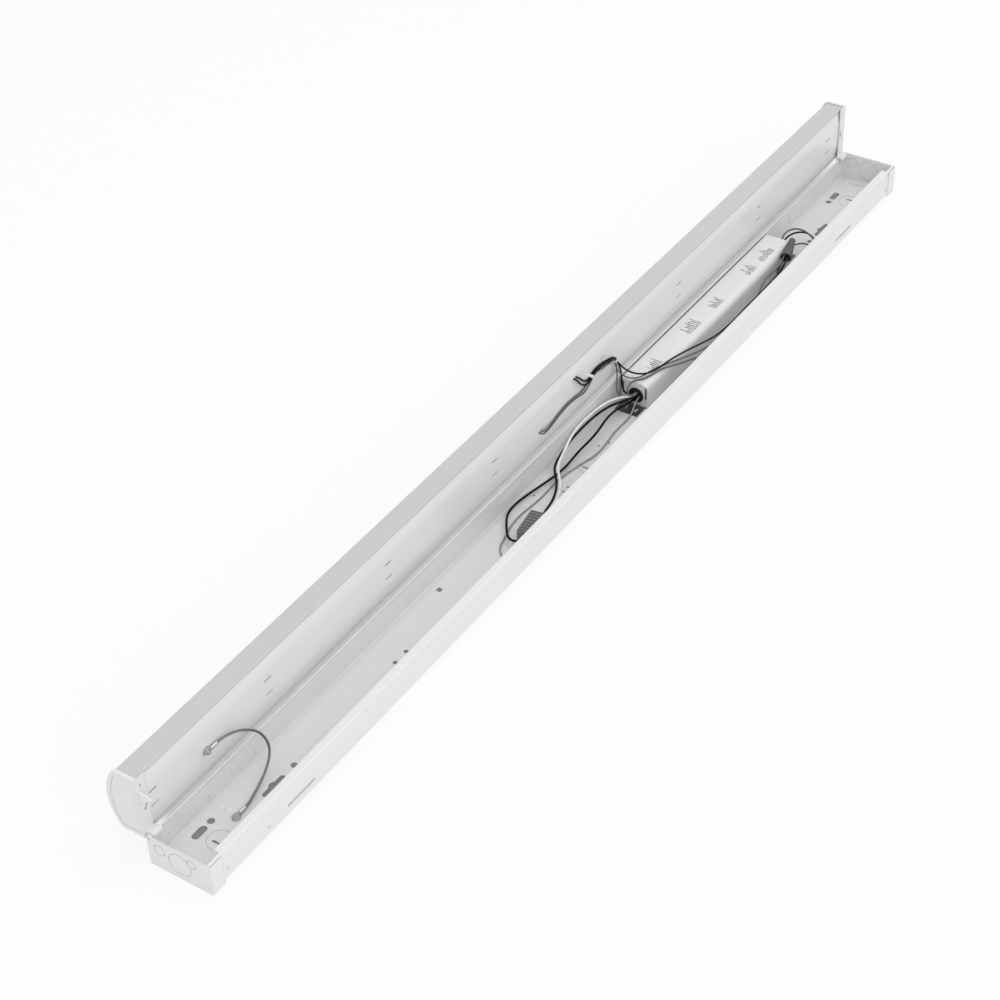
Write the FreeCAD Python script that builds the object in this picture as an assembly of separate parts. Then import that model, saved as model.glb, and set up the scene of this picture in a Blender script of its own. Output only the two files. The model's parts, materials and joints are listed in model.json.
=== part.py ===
"""Four-foot hanging strip light, lying on its back with its door open for wiring.

Millimetres. X runs along the light and Z points away from the mounting face, whose centre is the
origin. The door half, with the lens and the LED boards, is hinged on the +Y side and stands open
by 90 degrees. The end at -X is called near and the end at +X far.
"""
import FreeCAD, Part
import os
from math import acos, cos, degrees, hypot, pi, radians, sin, sqrt, tan

V = FreeCAD.Vector
X_AXIS = V(1, 0, 0)
Y_AXIS = V(0, 1, 0)
Z_AXIS = V(0, 0, 1)
THROUGH = 2.0                    # how far a cutting tool stands out past the sheet it cuts

# ---- the housing: a folded channel between two end caps -------------------------------------
light_length = 1219.0
cap_width = 64.0
cap_height = 32.3
sheet = 0.8                      # painted steel of the channel
cap_plate = 1.0
cap_flange = 0.8                 # sides of the end cap, outside the channel walls
cap_flange_depth = 15.0
cap_flange_top = 6.4             # the hinge side is this much lower than the cap: the door's stop
cap_corner = 1.2
base_chamfer_y = 3.0
base_chamfer_z = 3.8
lip_width = 7.9
lip_jog = 0.5                    # the lip side steps in by this, just under the lip
lip_jog_drop = 5.3
lip_jog_rise = 0.8
lip_bend = 1.6
lip_end_cut = 15.0               # the lip stops this far from each end of the channel
hinge_wall_drop = 2.0
hinge_wall_lip = 2.0
hinge_notch_depth = 6.9
hinge_notch_length = 16.5

# ---- holes in the back, by their distance from the end of the light -------------------------
oval_from_end = 44.5
oval_length = 16.0
oval_width = 7.0
bolt_from_end = 59.2
bolt_hole_r = 3.3
bolt_row_y = 19.5
boss_from_end = 77.0
boss_r = 4.0
boss_height = 1.1
boss_spacing = 7.5
knockout_from_end = 46.6
knockout_r = 11.1
knockout_line = 0.5
knockout_back = 0.3              # depth of its line on the inner face of an end cap
pry_slot_width = 2.0
pry_slot_length = 10.4
pry_slot_offset = 3.1            # from the middle of a knockout towards its end of the light
keyhole_from_end = 116.1
keyhole_length = 27.7
keyhole_half_width = 2.4
keyhole_r = 4.5
wire_hole_from_end = 143.8
wire_hole_r = 3.0
small_hole_r = 1.2
small_hole_places = [(-46.0, 0.0), (-38.0, 0.0), (32.5, 8.2), (41.5, 2.3), (-65.3, 20.9)]
fixing_hole_places = [(-321.7, 0.0), (-305.3, 0.0)]
fixing_hole_r = 2.2
square_hole_place = (-223.2, 21.3)
square_hole = 5.0

# ---- holes in the side walls ----------------------------------------------------------------
hanger_slot_length = 36.0
hanger_slot_width = 3.0
hanger_slot_z = 12.0
hanger_slot_near = 114.9         # from the near end of the light to the middle of the slot
hanger_slot_far = 126.5          # the same from the far end
wall_hole_from_end = 71.8
wall_hole_r = 1.2
wall_hole_z = 10.9
snap_hole_from_end = 20.8
snap_hole_r = 1.8
snap_hole_z = 11.6
rib_from_end = [103.5, 133.5]    # short upright ribs pressed into the hinge-side wall
rib_length = 7.0
rib_r = 1.9
rib_z = 14.0
wall_slit_x = -103.9
wall_slit_z = 18.0
wall_slit_length = 5.0
wall_slit_width = 1.2

# ---- the hinge ------------------------------------------------------------------------------
hinge_inset_y = 1.85             # from the side of the end cap to the hinge axis
hinge_inset_z = 3.15             # from the top of the end cap to the hinge axis
hinge_pin_r = 1.4
hinge_pin_length = 14.3
hinge_running_gap = 0.05         # radial
hinge_boss_r = 3.0
hinge_boss_length = 2.0
hinge_side_gap = 0.3
knuckle_r = 3.2
knuckle_length = 11.2
closed_gap = 0.65                # between the rims of the two end caps when the door is shut
stop_gap = 0.05

# ---- the door's end caps: D-shaped cups ------------------------------------------------------
dome_depth = 33.5
dome_crown_r = 52.4
dome_corner_r = 7.0
lens_cap_plate = 1.5
lens_cap_wall = 1.0
lens_cap_depth = 12.0            # of its rim, which the tray meets
lens_cap_lap = 3.6               # how far it reaches over the lens
lens_cap_round = 1.1
panel_recess = 0.6
panel_half_width = 27.2
panel_front = 2.8
panel_side_depth = 21.8
panel_crown_depth = 28.3
latch_thickness = 2.0
latch_inset = 0.5
latch_profile = [(0.0, 18.7), (0.0, 5.3), (13.95, 16.3)]   # out of the rim, up from the middle
rim_slot_from_end = 8.5
rim_slot_width = 2.4
rim_slot_length = 9.0
rim_slot_v = -1.0
rim_hole_from_end = 6.0
rim_hole_v = 23.0
rim_hole_r = 1.0

# ---- lens and tray ---------------------------------------------------------------------------
lens_gap = 0.2
lens_wall = 1.5
lens_lip_depth = 2.25            # front face of the lens, behind the rim plane
lens_lip = 1.0
lens_lip_reach = 28.3
tray_groove = 1.2
lens_rib = 1.0
tray_sheet = 0.8
tray_rim_gap = 0.35
tray_end_gap = 0.5
tray_edge = 29.1
tray_bend_outer = 28.0
tray_bend_middle = 19.5
tray_bend_inner = 14.0
tray_step_outer = 2.1
tray_step_middle = 0.6
lead_hole_r = 1.3
tray_slot_length = 9.0
tray_slot_width = 1.2
clips_from_near = [19.0, 164.0, 333.0, 502.0]    # the board clips, from each end of the light
clips_from_far = [526.0, 375.0, 202.5, 38.0]

# ---- LED boards ------------------------------------------------------------------------------
board_v = -1.8
board_width = 14.0
board_thickness = 1.6
board_gap = 6.0
board_end_gap = 9.5
chip_size = 3.0
chip_height = 0.7
chip_pitch = 25.0
clip_strip = 0.5
clip_width = 8.0
clip_side_gap = 0.15
connector_length = 11.0
connector_height = 4.0
connector_width = 8.0
connector_low_width = 4.8
link_length = 20.0
link_width = 6.0
link_height = 3.2

# ---- tether ----------------------------------------------------------------------------------
tether_d = 2.2
stud_r = 1.5
stud_length = 4.7
ring_r = 4.0
ring_thickness = 0.8
nut_across = 5.5
nut_height = 2.4
ferrule_r = 1.8
ferrule_length = 7.5
ferrule_start = 4.0              # from the middle of the stud
tray_stud_from_end = 81.5
tray_stud_v = -5.8
base_stud_from_end = 72.5
base_stud_y = 4.0

# ---- driver ----------------------------------------------------------------------------------
driver_near = 108.0
driver_length = 307.0
driver_side_gap = 4.0            # to the outside of the housing, on the hinge side
driver_width = 30.0
driver_top = 28.4
driver_sheet = 0.8
driver_corner_r = 7.0
driver_plate = 1.0
driver_foot = 17.0
driver_foot_inset_left = 2.5
driver_foot_inset_right = 2.0
driver_screw_from_end = 7.1
driver_screw_from_left = 10.1
driver_slot_from_end = 4.3
driver_slot_from_left = 22.2
corner_slit_width = 2.2
corner_slit_bottom = 11.0
bushing_from_left = 17.3
bushing_z = 13.7
bushing_flange_r = 8.2
bushing_flange = 1.3
bushing_neck_r = 6.8
bushing_bore_r = 5.4
bushing_inner_flange = 0.8
bushing_grip_r = 7.4
terminal_setback = 3.0
terminal_length = 8.0
terminal_width = 16.0
terminal_top = 20.5
liner = 0.5
liner_rail_width = 1.5
board_rise = 2.7
driver_board_thickness = 1.6
driver_board_end_gap = 4.0
core_length = 26.0
core_width = 20.0
core_height = 17.0
core_middle_leg = 10.5
core_outer_leg = 2.7
winding_gap = 0.15
screw_head_r = 3.0
screw_head_height = 1.8
screw_shank_r = 1.6

# ---- surge module ----------------------------------------------------------------------------
module_corner = (-96.5, 3.9)     # hinge-side corner of its far end
module_turn = 8.66               # degrees
module_length = 33.2
module_width = 26.0
module_height = 12.2
module_wall = 1.2
module_foot = 1.0
module_ear_r = 4.0
module_ear_s = 3.2               # ring centre, out from the near end
module_ear_t = 1.0               # and in from the hinge side
module_hole_r = 1.7

# ---- wire nut ----------------------------------------------------------------------------------
nut_mouth = V(386.5, -9.9, 27.0)
nut_tip = V(416.2, -2.5, 30.0)
nut_mouth_r = 6.2
nut_tip_r = 3.4
nut_bore_r = 5.2
nut_bore_depth = 6.0
nut_lead_offset = 1.9

# ---- leads -------------------------------------------------------------------------------------
supply_d = 2.4
output_d = 2.0
led_black_d = 1.8
led_gray_d = 1.6
return_d = 1.8
bushing_lead_r = 3.6
bushing_run = 7.0                # leads run straight this far out of the driver's terminals
strap_width = 3.0
strap_thickness = 0.6
strap_run = 4.0                  # leads run straight this far each way from the middle of a strap
hole_stand_off = 3.4             # how far from the tray a lead turns into its hole
strap_gap = 0.15                 # round the bundle of leads in a strap
lead_spacing = 1.9
clip_1 = (104.5, -9.0)           # x and height above the middle of the door
clip_1_turn = 120.0
clip_2 = (60.5, -2.3)
clip_2_turn = 216.87
lead_hole_spacing = 3.8
black_holes = (33.3, 12.3)       # middle of each pair of holes, like the straps
gray_holes = (-29.8, -11.3)

# ---- places that follow from these ---------------------------------------------------------------
half = light_length / 2
half_width = cap_width / 2
channel_half = half - cap_plate
wall_outer = half_width - cap_flange
wall_inner = wall_outer - sheet
hinge_y = half_width - hinge_inset_y
hinge_z = cap_height - hinge_inset_z
door_offset = hinge_inset_z + closed_gap          # hinge axis to the rim plane of the door
rim_y = hinge_y + door_offset
door_mid_z = hinge_z + hinge_y
tray_face_y = rim_y + lens_cap_wall + tray_rim_gap
tray_back_y = tray_face_y + tray_sheet
board_back_y = tray_back_y + board_thickness
tray_slot_x = [-half + x for x in clips_from_near] + [half - x for x in clips_from_far]
tray_stud_x = -half + tray_stud_from_end
base_stud_x = -half + base_stud_from_end
driver_left = half_width - driver_side_gap
driver_screw_y = driver_left - driver_screw_from_left
driver_slot_y = driver_left - driver_slot_from_left
bushing_y = driver_left - bushing_from_left
driver_far = driver_near + driver_length
driver_right = driver_left - driver_width
plate_top = sheet + driver_plate
driver_board_top = plate_top + liner + board_rise + driver_board_thickness
terminal_near = driver_near + terminal_setback
terminal_far = driver_far - terminal_setback
strap_inside = lead_spacing / 2 + led_black_d / 2 + strap_gap
strap_clear = lead_spacing + led_black_d + 2 * strap_gap
lead_y = tray_face_y - strap_gap - led_black_d / 2
ENDS = {"near": -1, "far": 1}


# ---- helpers -------------------------------------------------------------------------------------
def block(x0, x1, y0, y1, z0, z1):
    return Part.makeBox(x1 - x0, y1 - y0, z1 - z0, V(x0, y0, z0))


def centred(x, y, z, length, width, height):
    """A block that stands on z, centred on x and y."""
    return block(x - length / 2, x + length / 2, y - width / 2, y + width / 2, z, z + height)


def rod(radius, start, axis, length):
    return Part.makeCylinder(radius, length, start, axis)


def polygon(points):
    """Closed polygon through (y, z) points, in the plane x = 0."""
    corners = [V(0, y, z) for y, z in points]
    return Part.Face(Part.makePolygon(corners + corners[:1]))


def prism(face, x0, x1):
    """A face in the plane x = 0, pushed from x0 to x1."""
    moved = face.copy()
    moved.translate(V(x0, 0, 0))
    return moved.extrude(V(x1 - x0, 0, 0))


def offset_path(points, distance):
    """An open path moved sideways to its left, with mitred corners."""
    normals = []
    for (y0, z0), (y1, z1) in zip(points, points[1:]):
        run = hypot(y1 - y0, z1 - z0)
        normals.append((-(z1 - z0) / run, (y1 - y0) / run))
    sides = [normals[0]] + normals + [normals[-1]]
    moved = []
    for (y, z), (a, b), (c, d) in zip(points, sides, sides[1:]):
        scale = distance / (1 + a * c + b * d)
        moved.append((y + (a + c) * scale, z + (b + d) * scale))
    return moved


def folded(points, thickness, x0, x1):
    """Folded sheet: a (y, z) path of its outer face, thickened to the left and pushed along X."""
    inner = offset_path(points, thickness)
    return prism(polygon(points + inner[::-1]), x0, x1)


def fillet_at(shape, places, radius):
    """Rounds the edges along X that pass within reach of the (y, z) places."""
    reach = 0.02
    picked = []
    for edge in shape.Edges:
        a, b = edge.Vertexes[0].Point, edge.Vertexes[-1].Point
        along_x = abs(a.y - b.y) < reach and abs(a.z - b.z) < reach and abs(a.x - b.x) > reach
        if along_x and any(hypot(a.y - y, a.z - z) < reach for y, z in places):
            picked.append(edge)
    return shape.makeFillet(radius, picked)


def slot_z(x, y, length, width, z0, z1):
    """Round-ended slot along X, cut through from z0 to z1."""
    run = length - width
    tool = block(x - run / 2, x + run / 2, y - width / 2, y + width / 2, z0, z1)
    ends = [rod(width / 2, V(x + s * run / 2, y, z0), Z_AXIS, z1 - z0) for s in (-1, 1)]
    return tool.fuse(ends)


def slot_y(x, z, length, width, y0, y1):
    """Round-ended slot along X, cut through a side wall from y0 to y1."""
    run = length - width
    tool = block(x - run / 2, x + run / 2, y0, y1, z - width / 2, z + width / 2)
    ends = [rod(width / 2, V(x + s * run / 2, y0, z), Y_AXIS, y1 - y0) for s in (-1, 1)]
    return tool.fuse(ends)


def ring(outer_r, inner_r, start, axis, length):
    return rod(outer_r, start, axis, length).cut(rod(inner_r, start, axis, length))


def mirrored(shape):
    """The same shape at the other end of the light."""
    return shape.mirror(V(0, 0, 0), X_AXIS)


def hexagon(across, start, axis, height):
    """Hexagonal prism, for a nut."""
    corner = across / sqrt(3)
    side = X_AXIS
    up = axis.cross(side)
    points = [start + side * (corner * cos(k * pi / 3)) + up * (corner * sin(k * pi / 3))
              for k in range(6)]
    return Part.Face(Part.makePolygon(points + points[:1])).extrude(axis * height)


# ---- cords and leads: straight runs joined by tangent arcs -------------------------------------
def lead(name, points, diameter):
    """Tube along a route; every corner gets the largest arc that its two runs allow."""
    points = [V(*p) for p in points]
    edges = []
    start = points[0]
    radii = []
    for before, corner, after in zip(points, points[1:], points[2:]):
        reach = 0.45 * min((corner - before).Length, (after - corner).Length)
        back = (before - corner).normalize()
        ahead = (after - corner).normalize()
        turn = pi - acos(max(-1.0, min(1.0, back.dot(ahead))))
        radius = reach / tan(turn / 2)
        radii.append(radius)
        entry = corner + back * reach
        leave = corner + ahead * reach
        middle = corner + (back + ahead).normalize() * (sqrt(radius ** 2 + reach ** 2) - radius)
        edges.append(Part.LineSegment(start, entry).toShape())
        edges.append(Part.Arc(entry, middle, leave).toShape())
        start = leave
    edges.append(Part.LineSegment(start, points[-1]).toShape())
    path = Part.Wire(edges)
    circle = Part.Wire([Part.Circle(points[0], points[1] - points[0], diameter / 2).toShape()])
    tube = path.makePipeShell([circle], True, False)
    expected = pi * diameter ** 2 / 4 * path.Length
    tight = [f"{k + 1}: {r / diameter:.1f} d" for k, r in enumerate(radii) if r < 3 * diameter]
    print(f"{name}: length {path.Length:.0f}, smallest radius {min(radii):.1f}, "
          f"volume {tube.Volume / expected:.3f} of expected, tight corners {tight}")
    return tube


# ---- housing -----------------------------------------------------------------------------------
def end_holes():
    """Cutting tools for the holes at the near end of the back."""
    bottom, top = -THROUGH, sheet + THROUGH
    x = -half
    tools = [
        slot_z(x + oval_from_end, bolt_row_y, oval_length, oval_width, bottom, top),
        rod(bolt_hole_r, V(x + bolt_from_end, bolt_row_y, bottom), Z_AXIS, top - bottom),
        slot_z(x + keyhole_from_end, 0, keyhole_length, 2 * keyhole_half_width, bottom, top),
        rod(keyhole_r, V(x + keyhole_from_end, 0, bottom), Z_AXIS, top - bottom),
        rod(wire_hole_r, V(x + wire_hole_from_end, 0, bottom), Z_AXIS, top - bottom),
    ]
    tools += knockout_z(x + knockout_from_end, -pry_slot_offset)
    return tools


def knockout_z(x, slot_offset):
    """Scored ring of a knockout in the back, with the slot that a screwdriver goes in."""
    outer = knockout_r + knockout_line / 2
    groove = ring(outer, outer - knockout_line, V(x, 0, sheet / 2), Z_AXIS, sheet)
    slot_x = x + slot_offset
    slot = block(slot_x - pry_slot_width / 2, slot_x + pry_slot_width / 2,
                 -pry_slot_length / 2, pry_slot_length / 2, -THROUGH, sheet + THROUGH)
    return [groove, slot]


def wall_holes():
    """Cutting tools for the side walls; the hanger slots are only on the side away from the hinge."""
    outside, inside = -wall_outer - THROUGH, -wall_inner + THROUGH
    tools = []
    for x in (-half + hanger_slot_near, half - hanger_slot_far):
        tools.append(slot_y(x, hanger_slot_z, hanger_slot_length, hanger_slot_width, outside, inside))
    for side in (-1, 1):
        low = side * (wall_outer + THROUGH) if side < 0 else wall_inner - THROUGH
        for end in (-1, 1):
            for from_end, radius, z in ((wall_hole_from_end, wall_hole_r, wall_hole_z),
                                        (snap_hole_from_end, snap_hole_r, snap_hole_z)):
                start = V(end * (half - from_end), low, z)
                tools.append(rod(radius, start, Y_AXIS, 2 * THROUGH + sheet))
    tools.append(block(wall_slit_x - wall_slit_width / 2, wall_slit_x + wall_slit_width / 2,
                       wall_inner - THROUGH, wall_outer + THROUGH,
                       wall_slit_z - wall_slit_length / 2, wall_slit_z + wall_slit_length / 2))
    return tools


def pressed_bosses():
    """Low rounded bosses pressed up out of the back, two at each end."""
    ball_r = (boss_r ** 2 + boss_height ** 2) / (2 * boss_height)
    bosses = []
    for end in (-1, 1):
        for step in (-0.5, 0.5):
            centre = V(end * (half - boss_from_end), bolt_row_y + step * boss_spacing,
                       sheet + boss_height - ball_r)
            ball = Part.makeSphere(ball_r, centre)
            keep = block(centre.x - boss_r, centre.x + boss_r, centre.y - boss_r,
                         centre.y + boss_r, sheet / 2, sheet + boss_height)
            bosses.append(ball.common(keep))
    return bosses


def pressed_ribs():
    """Short upright ribs pressed into the hinge-side wall at both ends."""
    ribs = []
    for end in (-1, 1):
        for from_end in rib_from_end:
            foot = V(end * (half - from_end), wall_inner + sheet / 2, rib_z - rib_length / 2)
            ribs.append(rod(rib_r, foot, Z_AXIS, rib_length))
    keep = block(-half, half, wall_inner - rib_r, wall_outer, 0, cap_height)
    return [rib.common(keep) for rib in ribs]


def housing_channel():
    lip_y = wall_outer - lip_jog
    path = [
        (-lip_y + lip_width, cap_height), (-lip_y, cap_height),
        (-lip_y, cap_height - lip_jog_drop),
        (-wall_outer, cap_height - lip_jog_drop - lip_jog_rise),
        (-wall_outer, base_chamfer_z), (-wall_outer + base_chamfer_y, 0),
        (wall_outer - base_chamfer_y, 0), (wall_outer, base_chamfer_z),
        (wall_outer, cap_height - hinge_wall_drop),
        (wall_outer - hinge_wall_lip, cap_height - hinge_wall_drop),
    ]
    channel = folded(path, sheet, -channel_half, channel_half)
    channel = fillet_at(channel, [(-lip_y, cap_height)], lip_bend)
    channel = channel.fuse(pressed_bosses() + pressed_ribs())
    tools = wall_holes() + knockout_z(0, -pry_slot_offset - small_hole_r / 2)
    for tool in end_holes():
        tools += [tool, mirrored(tool)]
    tall = sheet + 2 * THROUGH
    for x, y in small_hole_places:
        tools.append(rod(small_hole_r, V(x, y, -THROUGH), Z_AXIS, tall))
    for x, y in fixing_hole_places:
        tools.append(rod(fixing_hole_r, V(x, y, -THROUGH), Z_AXIS, tall))
    tools.append(rod(stud_r, V(base_stud_x, base_stud_y, -THROUGH), Z_AXIS, tall))
    x, y = square_hole_place
    side = square_hole / 2
    tools.append(block(x - side, x + side, y - side, y + side, -THROUGH, sheet + THROUGH))
    for end in (-1, 1):
        notch = block(channel_half - hinge_notch_length, channel_half + THROUGH,
                      wall_inner - hinge_wall_lip - THROUGH, wall_outer + THROUGH,
                      cap_height - hinge_notch_depth, cap_height + THROUGH)
        lip_cut = block(channel_half - lip_end_cut, channel_half + THROUGH,
                        -lip_y + lip_bend + sheet, 0,
                        cap_height - 2 * sheet, cap_height + THROUGH)
        for tool in (notch, lip_cut):
            tools.append(tool if end > 0 else mirrored(tool))
    return channel.cut(tools)


def housing_end_cap():
    """The near end cap: a plate with side flanges outside the walls, knockouts and hinge boss."""
    plate = block(-half, -channel_half, -half_width, half_width, 0, cap_height)
    corners = [(-half_width, 0), (half_width, 0), (-half_width, cap_height), (half_width, cap_height)]
    plate = fillet_at(plate, corners, cap_corner)
    back = -half + cap_flange_depth
    lip = block(-channel_half, back, -half_width, -wall_outer, cap_corner, cap_height - cap_corner)
    stop = block(-channel_half, back, wall_outer, half_width, cap_corner,
                 cap_height - cap_flange_top)
    foot_reach = wall_outer - base_chamfer_y - sheet
    foot = block(-channel_half, -channel_half + 10 * cap_plate, -foot_reach * 0.7,
                 foot_reach * 0.7, sheet, 2 * sheet)
    parts = [lip, stop, foot]
    for side in (-1, 1):
        inner = side * wall_inner
        tab = block(-channel_half, -half + snap_hole_from_end + 2.5, min(inner, inner - side * sheet),
                    max(inner, inner - side * sheet), snap_hole_z - 4, snap_hole_z + 4)
        nub = rod(snap_hole_r - 0.3, V(-half + snap_hole_from_end, inner, snap_hole_z),
                  Y_AXIS * side, sheet - 0.1)
        parts += [tab, nub]
    boss = rod(hinge_boss_r, V(-channel_half, hinge_y, hinge_z), X_AXIS, hinge_boss_length)
    boss = boss.common(block(-half, 0, 0, half_width, 0, cap_height))
    cap = plate.fuse(parts + [boss])
    pin = rod(hinge_pin_r, V(-half - THROUGH, hinge_y, hinge_z), X_AXIS, hinge_pin_length)
    groove_depth = cap_plate / 2
    outer = knockout_r + knockout_line / 2
    face = V(-half - groove_depth, 0, 0)
    tools = [pin]
    for y, z, r in ((0.0, 16.5, outer), (20.0, 21.6, outer / 2), (-12.5, 24.0, outer / 2.6)):
        centre = face + V(0, y, z)
        tools.append(ring(r, r - knockout_line, centre, X_AXIS, 2 * groove_depth))
        inner = V(-channel_half - knockout_back, y, z)
        tools.append(ring(r + knockout_line, r, inner, X_AXIS, 2 * knockout_back))
    return cap.cut(tools)


def hinge_pins():
    pin = rod(hinge_pin_r, V(-half + 0.2, hinge_y, hinge_z), X_AXIS, hinge_pin_length)
    return [pin, mirrored(pin)]


# ---- door --------------------------------------------------------------------------------------
def dome_face(inset, front):
    """D outline of the door, moved in by inset all round and cut flat at the depth front."""
    corner_v = half_width - dome_corner_r
    crown_centre = dome_depth - dome_crown_r
    corner_r = dome_corner_r - inset
    crown_r = dome_crown_r - inset
    corner_d = crown_centre + sqrt((dome_crown_r - dome_corner_r) ** 2 - corner_v ** 2)
    lean = (corner_v / (dome_crown_r - dome_corner_r),
            (corner_d - crown_centre) / (dome_crown_r - dome_corner_r))
    middle = (1 + lean[0], lean[1])
    length = hypot(*middle)

    def at(v, d):
        return V(0, rim_y + d, door_mid_z + v)

    edges = []
    for side in (1, -1):
        shoulder = at(side * (half_width - inset), corner_d)
        bulge = at(side * (corner_v + corner_r * middle[0] / length),
                   corner_d + corner_r * middle[1] / length)
        top = at(side * (corner_v + corner_r * lean[0]), corner_d + corner_r * lean[1])
        edges.append(Part.LineSegment(at(side * (half_width - inset), front), shoulder).toShape())
        edges.append(Part.Arc(shoulder, bulge, top).toShape())
    ends = [at(side * crown_r * lean[0], crown_centre + crown_r * lean[1]) for side in (1, -1)]
    edges.append(Part.Arc(ends[0], at(0, crown_centre + crown_r), ends[1]).toShape())
    edges.append(Part.LineSegment(at(half_width - inset, front),
                                  at(-half_width + inset, front)).toShape())
    return Part.Face(Part.Wire(Part.__sortEdges__(edges)))


def panel_face():
    """Recessed panel in the end of the door: straight sides and a shallow arc."""
    def at(v, d):
        return V(0, rim_y + d, door_mid_z + v)

    left, right = panel_half_width, -panel_half_width
    edges = [
        Part.LineSegment(at(right, panel_front), at(left, panel_front)).toShape(),
        Part.LineSegment(at(left, panel_front), at(left, panel_side_depth)).toShape(),
        Part.Arc(at(left, panel_side_depth), at(0, panel_crown_depth),
                 at(right, panel_side_depth)).toShape(),
        Part.LineSegment(at(right, panel_side_depth), at(right, panel_front)).toShape(),
    ]
    return Part.Face(Part.Wire(edges))


def rounded_dome():
    """Block of the lens cap: its outer edge is rounded, but not along the rim."""
    dome = prism(dome_face(0, 0), -half, -half + lens_cap_depth)
    outline = []
    for edge in dome.Edges:
        box = edge.BoundBox
        if box.XMax < -half + 0.01 and box.YMax > rim_y + 0.01:
            outline.append(edge)
    return dome.makeFillet(lens_cap_round, outline)


def lens_end_cap(with_latch):
    """The near end cap of the door: a cup over the lens, with a hinge knuckle and a latch blade."""
    cup = rounded_dome()
    cup = cup.cut(prism(dome_face(lens_cap_wall, lens_cap_wall), -half + lens_cap_plate,
                        -half + lens_cap_depth + THROUGH))
    cup = cup.cut(prism(panel_face(), -half - THROUGH, -half + panel_recess))
    cup = cup.cut(block(-half + lens_cap_lap, 0, rim_y + lens_cap_wall, rim_y + 2 * dome_depth,
                        0, 2 * door_mid_z))
    knuckle_start = -channel_half + hinge_boss_length + hinge_side_gap
    knuckle_end = knuckle_start + knuckle_length
    knuckle = rod(knuckle_r, V(knuckle_start, hinge_y, hinge_z), X_AXIS, knuckle_length)
    arm = block(knuckle_start, knuckle_end, hinge_y, rim_y + lens_cap_wall / 2,
                hinge_z - knuckle_r, hinge_z + knuckle_r)
    keep = block(-half, 0, 0, 2 * rim_y, cap_height - cap_flange_top + stop_gap, 2 * door_mid_z)
    latch_start = -half + lens_cap_plate + latch_inset
    latch = prism(polygon([(rim_y - out, door_mid_z + up) for out, up in latch_profile]),
                  latch_start, latch_start + latch_thickness)
    cap = cup.fuse(knuckle.fuse(arm).common(keep))
    if with_latch:
        cap = cap.fuse(latch)
    bore = rod(hinge_pin_r + hinge_running_gap, V(knuckle_start - THROUGH, hinge_y, hinge_z),
               X_AXIS, knuckle_length + 2 * THROUGH)
    rim_back = rim_y + lens_cap_wall
    slot = block(-rim_slot_width / 2, rim_slot_width / 2, rim_y - THROUGH, rim_back + THROUGH,
                 -rim_slot_length / 2, rim_slot_length / 2)
    slot.rotate(V(0, 0, 0), Y_AXIS, 25)
    slot.translate(V(-half + rim_slot_from_end, 0, door_mid_z + rim_slot_v))
    hole = rod(rim_hole_r, V(-half + rim_hole_from_end, rim_y - THROUGH, door_mid_z + rim_hole_v),
               Y_AXIS, lens_cap_wall + 2 * THROUGH)
    return cap.cut([bore, slot, hole])


def lens():
    """Frosted D-shaped extrusion; a lip and a rib hold the tray's edges."""
    inset = lens_cap_wall + lens_gap
    reach = half - lens_cap_plate - tray_end_gap
    shell = prism(dome_face(inset, lens_lip_depth), -reach, reach)
    groove_front = lens_lip_depth + lens_lip
    rib_back = groove_front + tray_groove + lens_rib
    inner = half_width - inset - lens_wall
    cavity = prism(dome_face(inset + lens_wall, rib_back), -reach - THROUGH, reach + THROUGH)
    groove = block(-reach - THROUGH, reach + THROUGH, rim_y + groove_front,
                   rim_y + groove_front + tray_groove, door_mid_z - inner, door_mid_z + inner)
    mouth = block(-reach - THROUGH, reach + THROUGH, rim_y + lens_lip_depth - THROUGH,
                  rim_y + rib_back + THROUGH, door_mid_z - lens_lip_reach,
                  door_mid_z + lens_lip_reach)
    return shell.cut([cavity, groove, mouth])


def led_tray():
    """Folded white tray that faces the housing; the boards are clipped to its back."""
    steps = [(tray_step_outer, tray_edge), (tray_step_outer, tray_bend_outer),
             (tray_step_middle, tray_bend_middle), (0.0, tray_bend_inner)]
    path = [(tray_face_y + step, door_mid_z + v) for step, v in steps]
    path += [(tray_face_y + step, door_mid_z - v) for step, v in steps[::-1]]
    reach = half - lens_cap_plate - tray_end_gap
    tray = folded(path, tray_sheet, -reach, reach)
    front, back = tray_face_y - THROUGH, tray_back_y + THROUGH
    tools = []
    for x in tray_slot_x:
        for v in tray_slots():
            z = door_mid_z + v
            tools.append(block(x - tray_slot_length / 2, x + tray_slot_length / 2, front, back,
                               z - tray_slot_width / 2, z + tray_slot_width / 2))
    for x, v in (black_holes, gray_holes):
        for side in (-0.5, 0.5):
            place = V(x + side * lead_hole_spacing, front, door_mid_z + v)
            tools.append(rod(lead_hole_r, place, Y_AXIS, back - front))
    tools.append(rod(stud_r, V(tray_stud_x, front, door_mid_z + tray_stud_v), Y_AXIS, back - front))
    return tray.cut(tools)


def tray_slots():
    """Heights of the two slots beside the boards."""
    beside = board_width / 2 + tray_slot_width / 2 + clip_side_gap - 0.05
    return (board_v + beside, board_v - beside)


def led_board(side):
    """One aluminium board; side is -1 for the near one and 1 for the far one."""
    inner, outer = board_gap / 2, half - board_end_gap
    x0, x1 = sorted((side * inner, side * outer))
    z = door_mid_z + board_v
    return block(x0, x1, tray_back_y, board_back_y, z - board_width / 2, z + board_width / 2)


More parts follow.
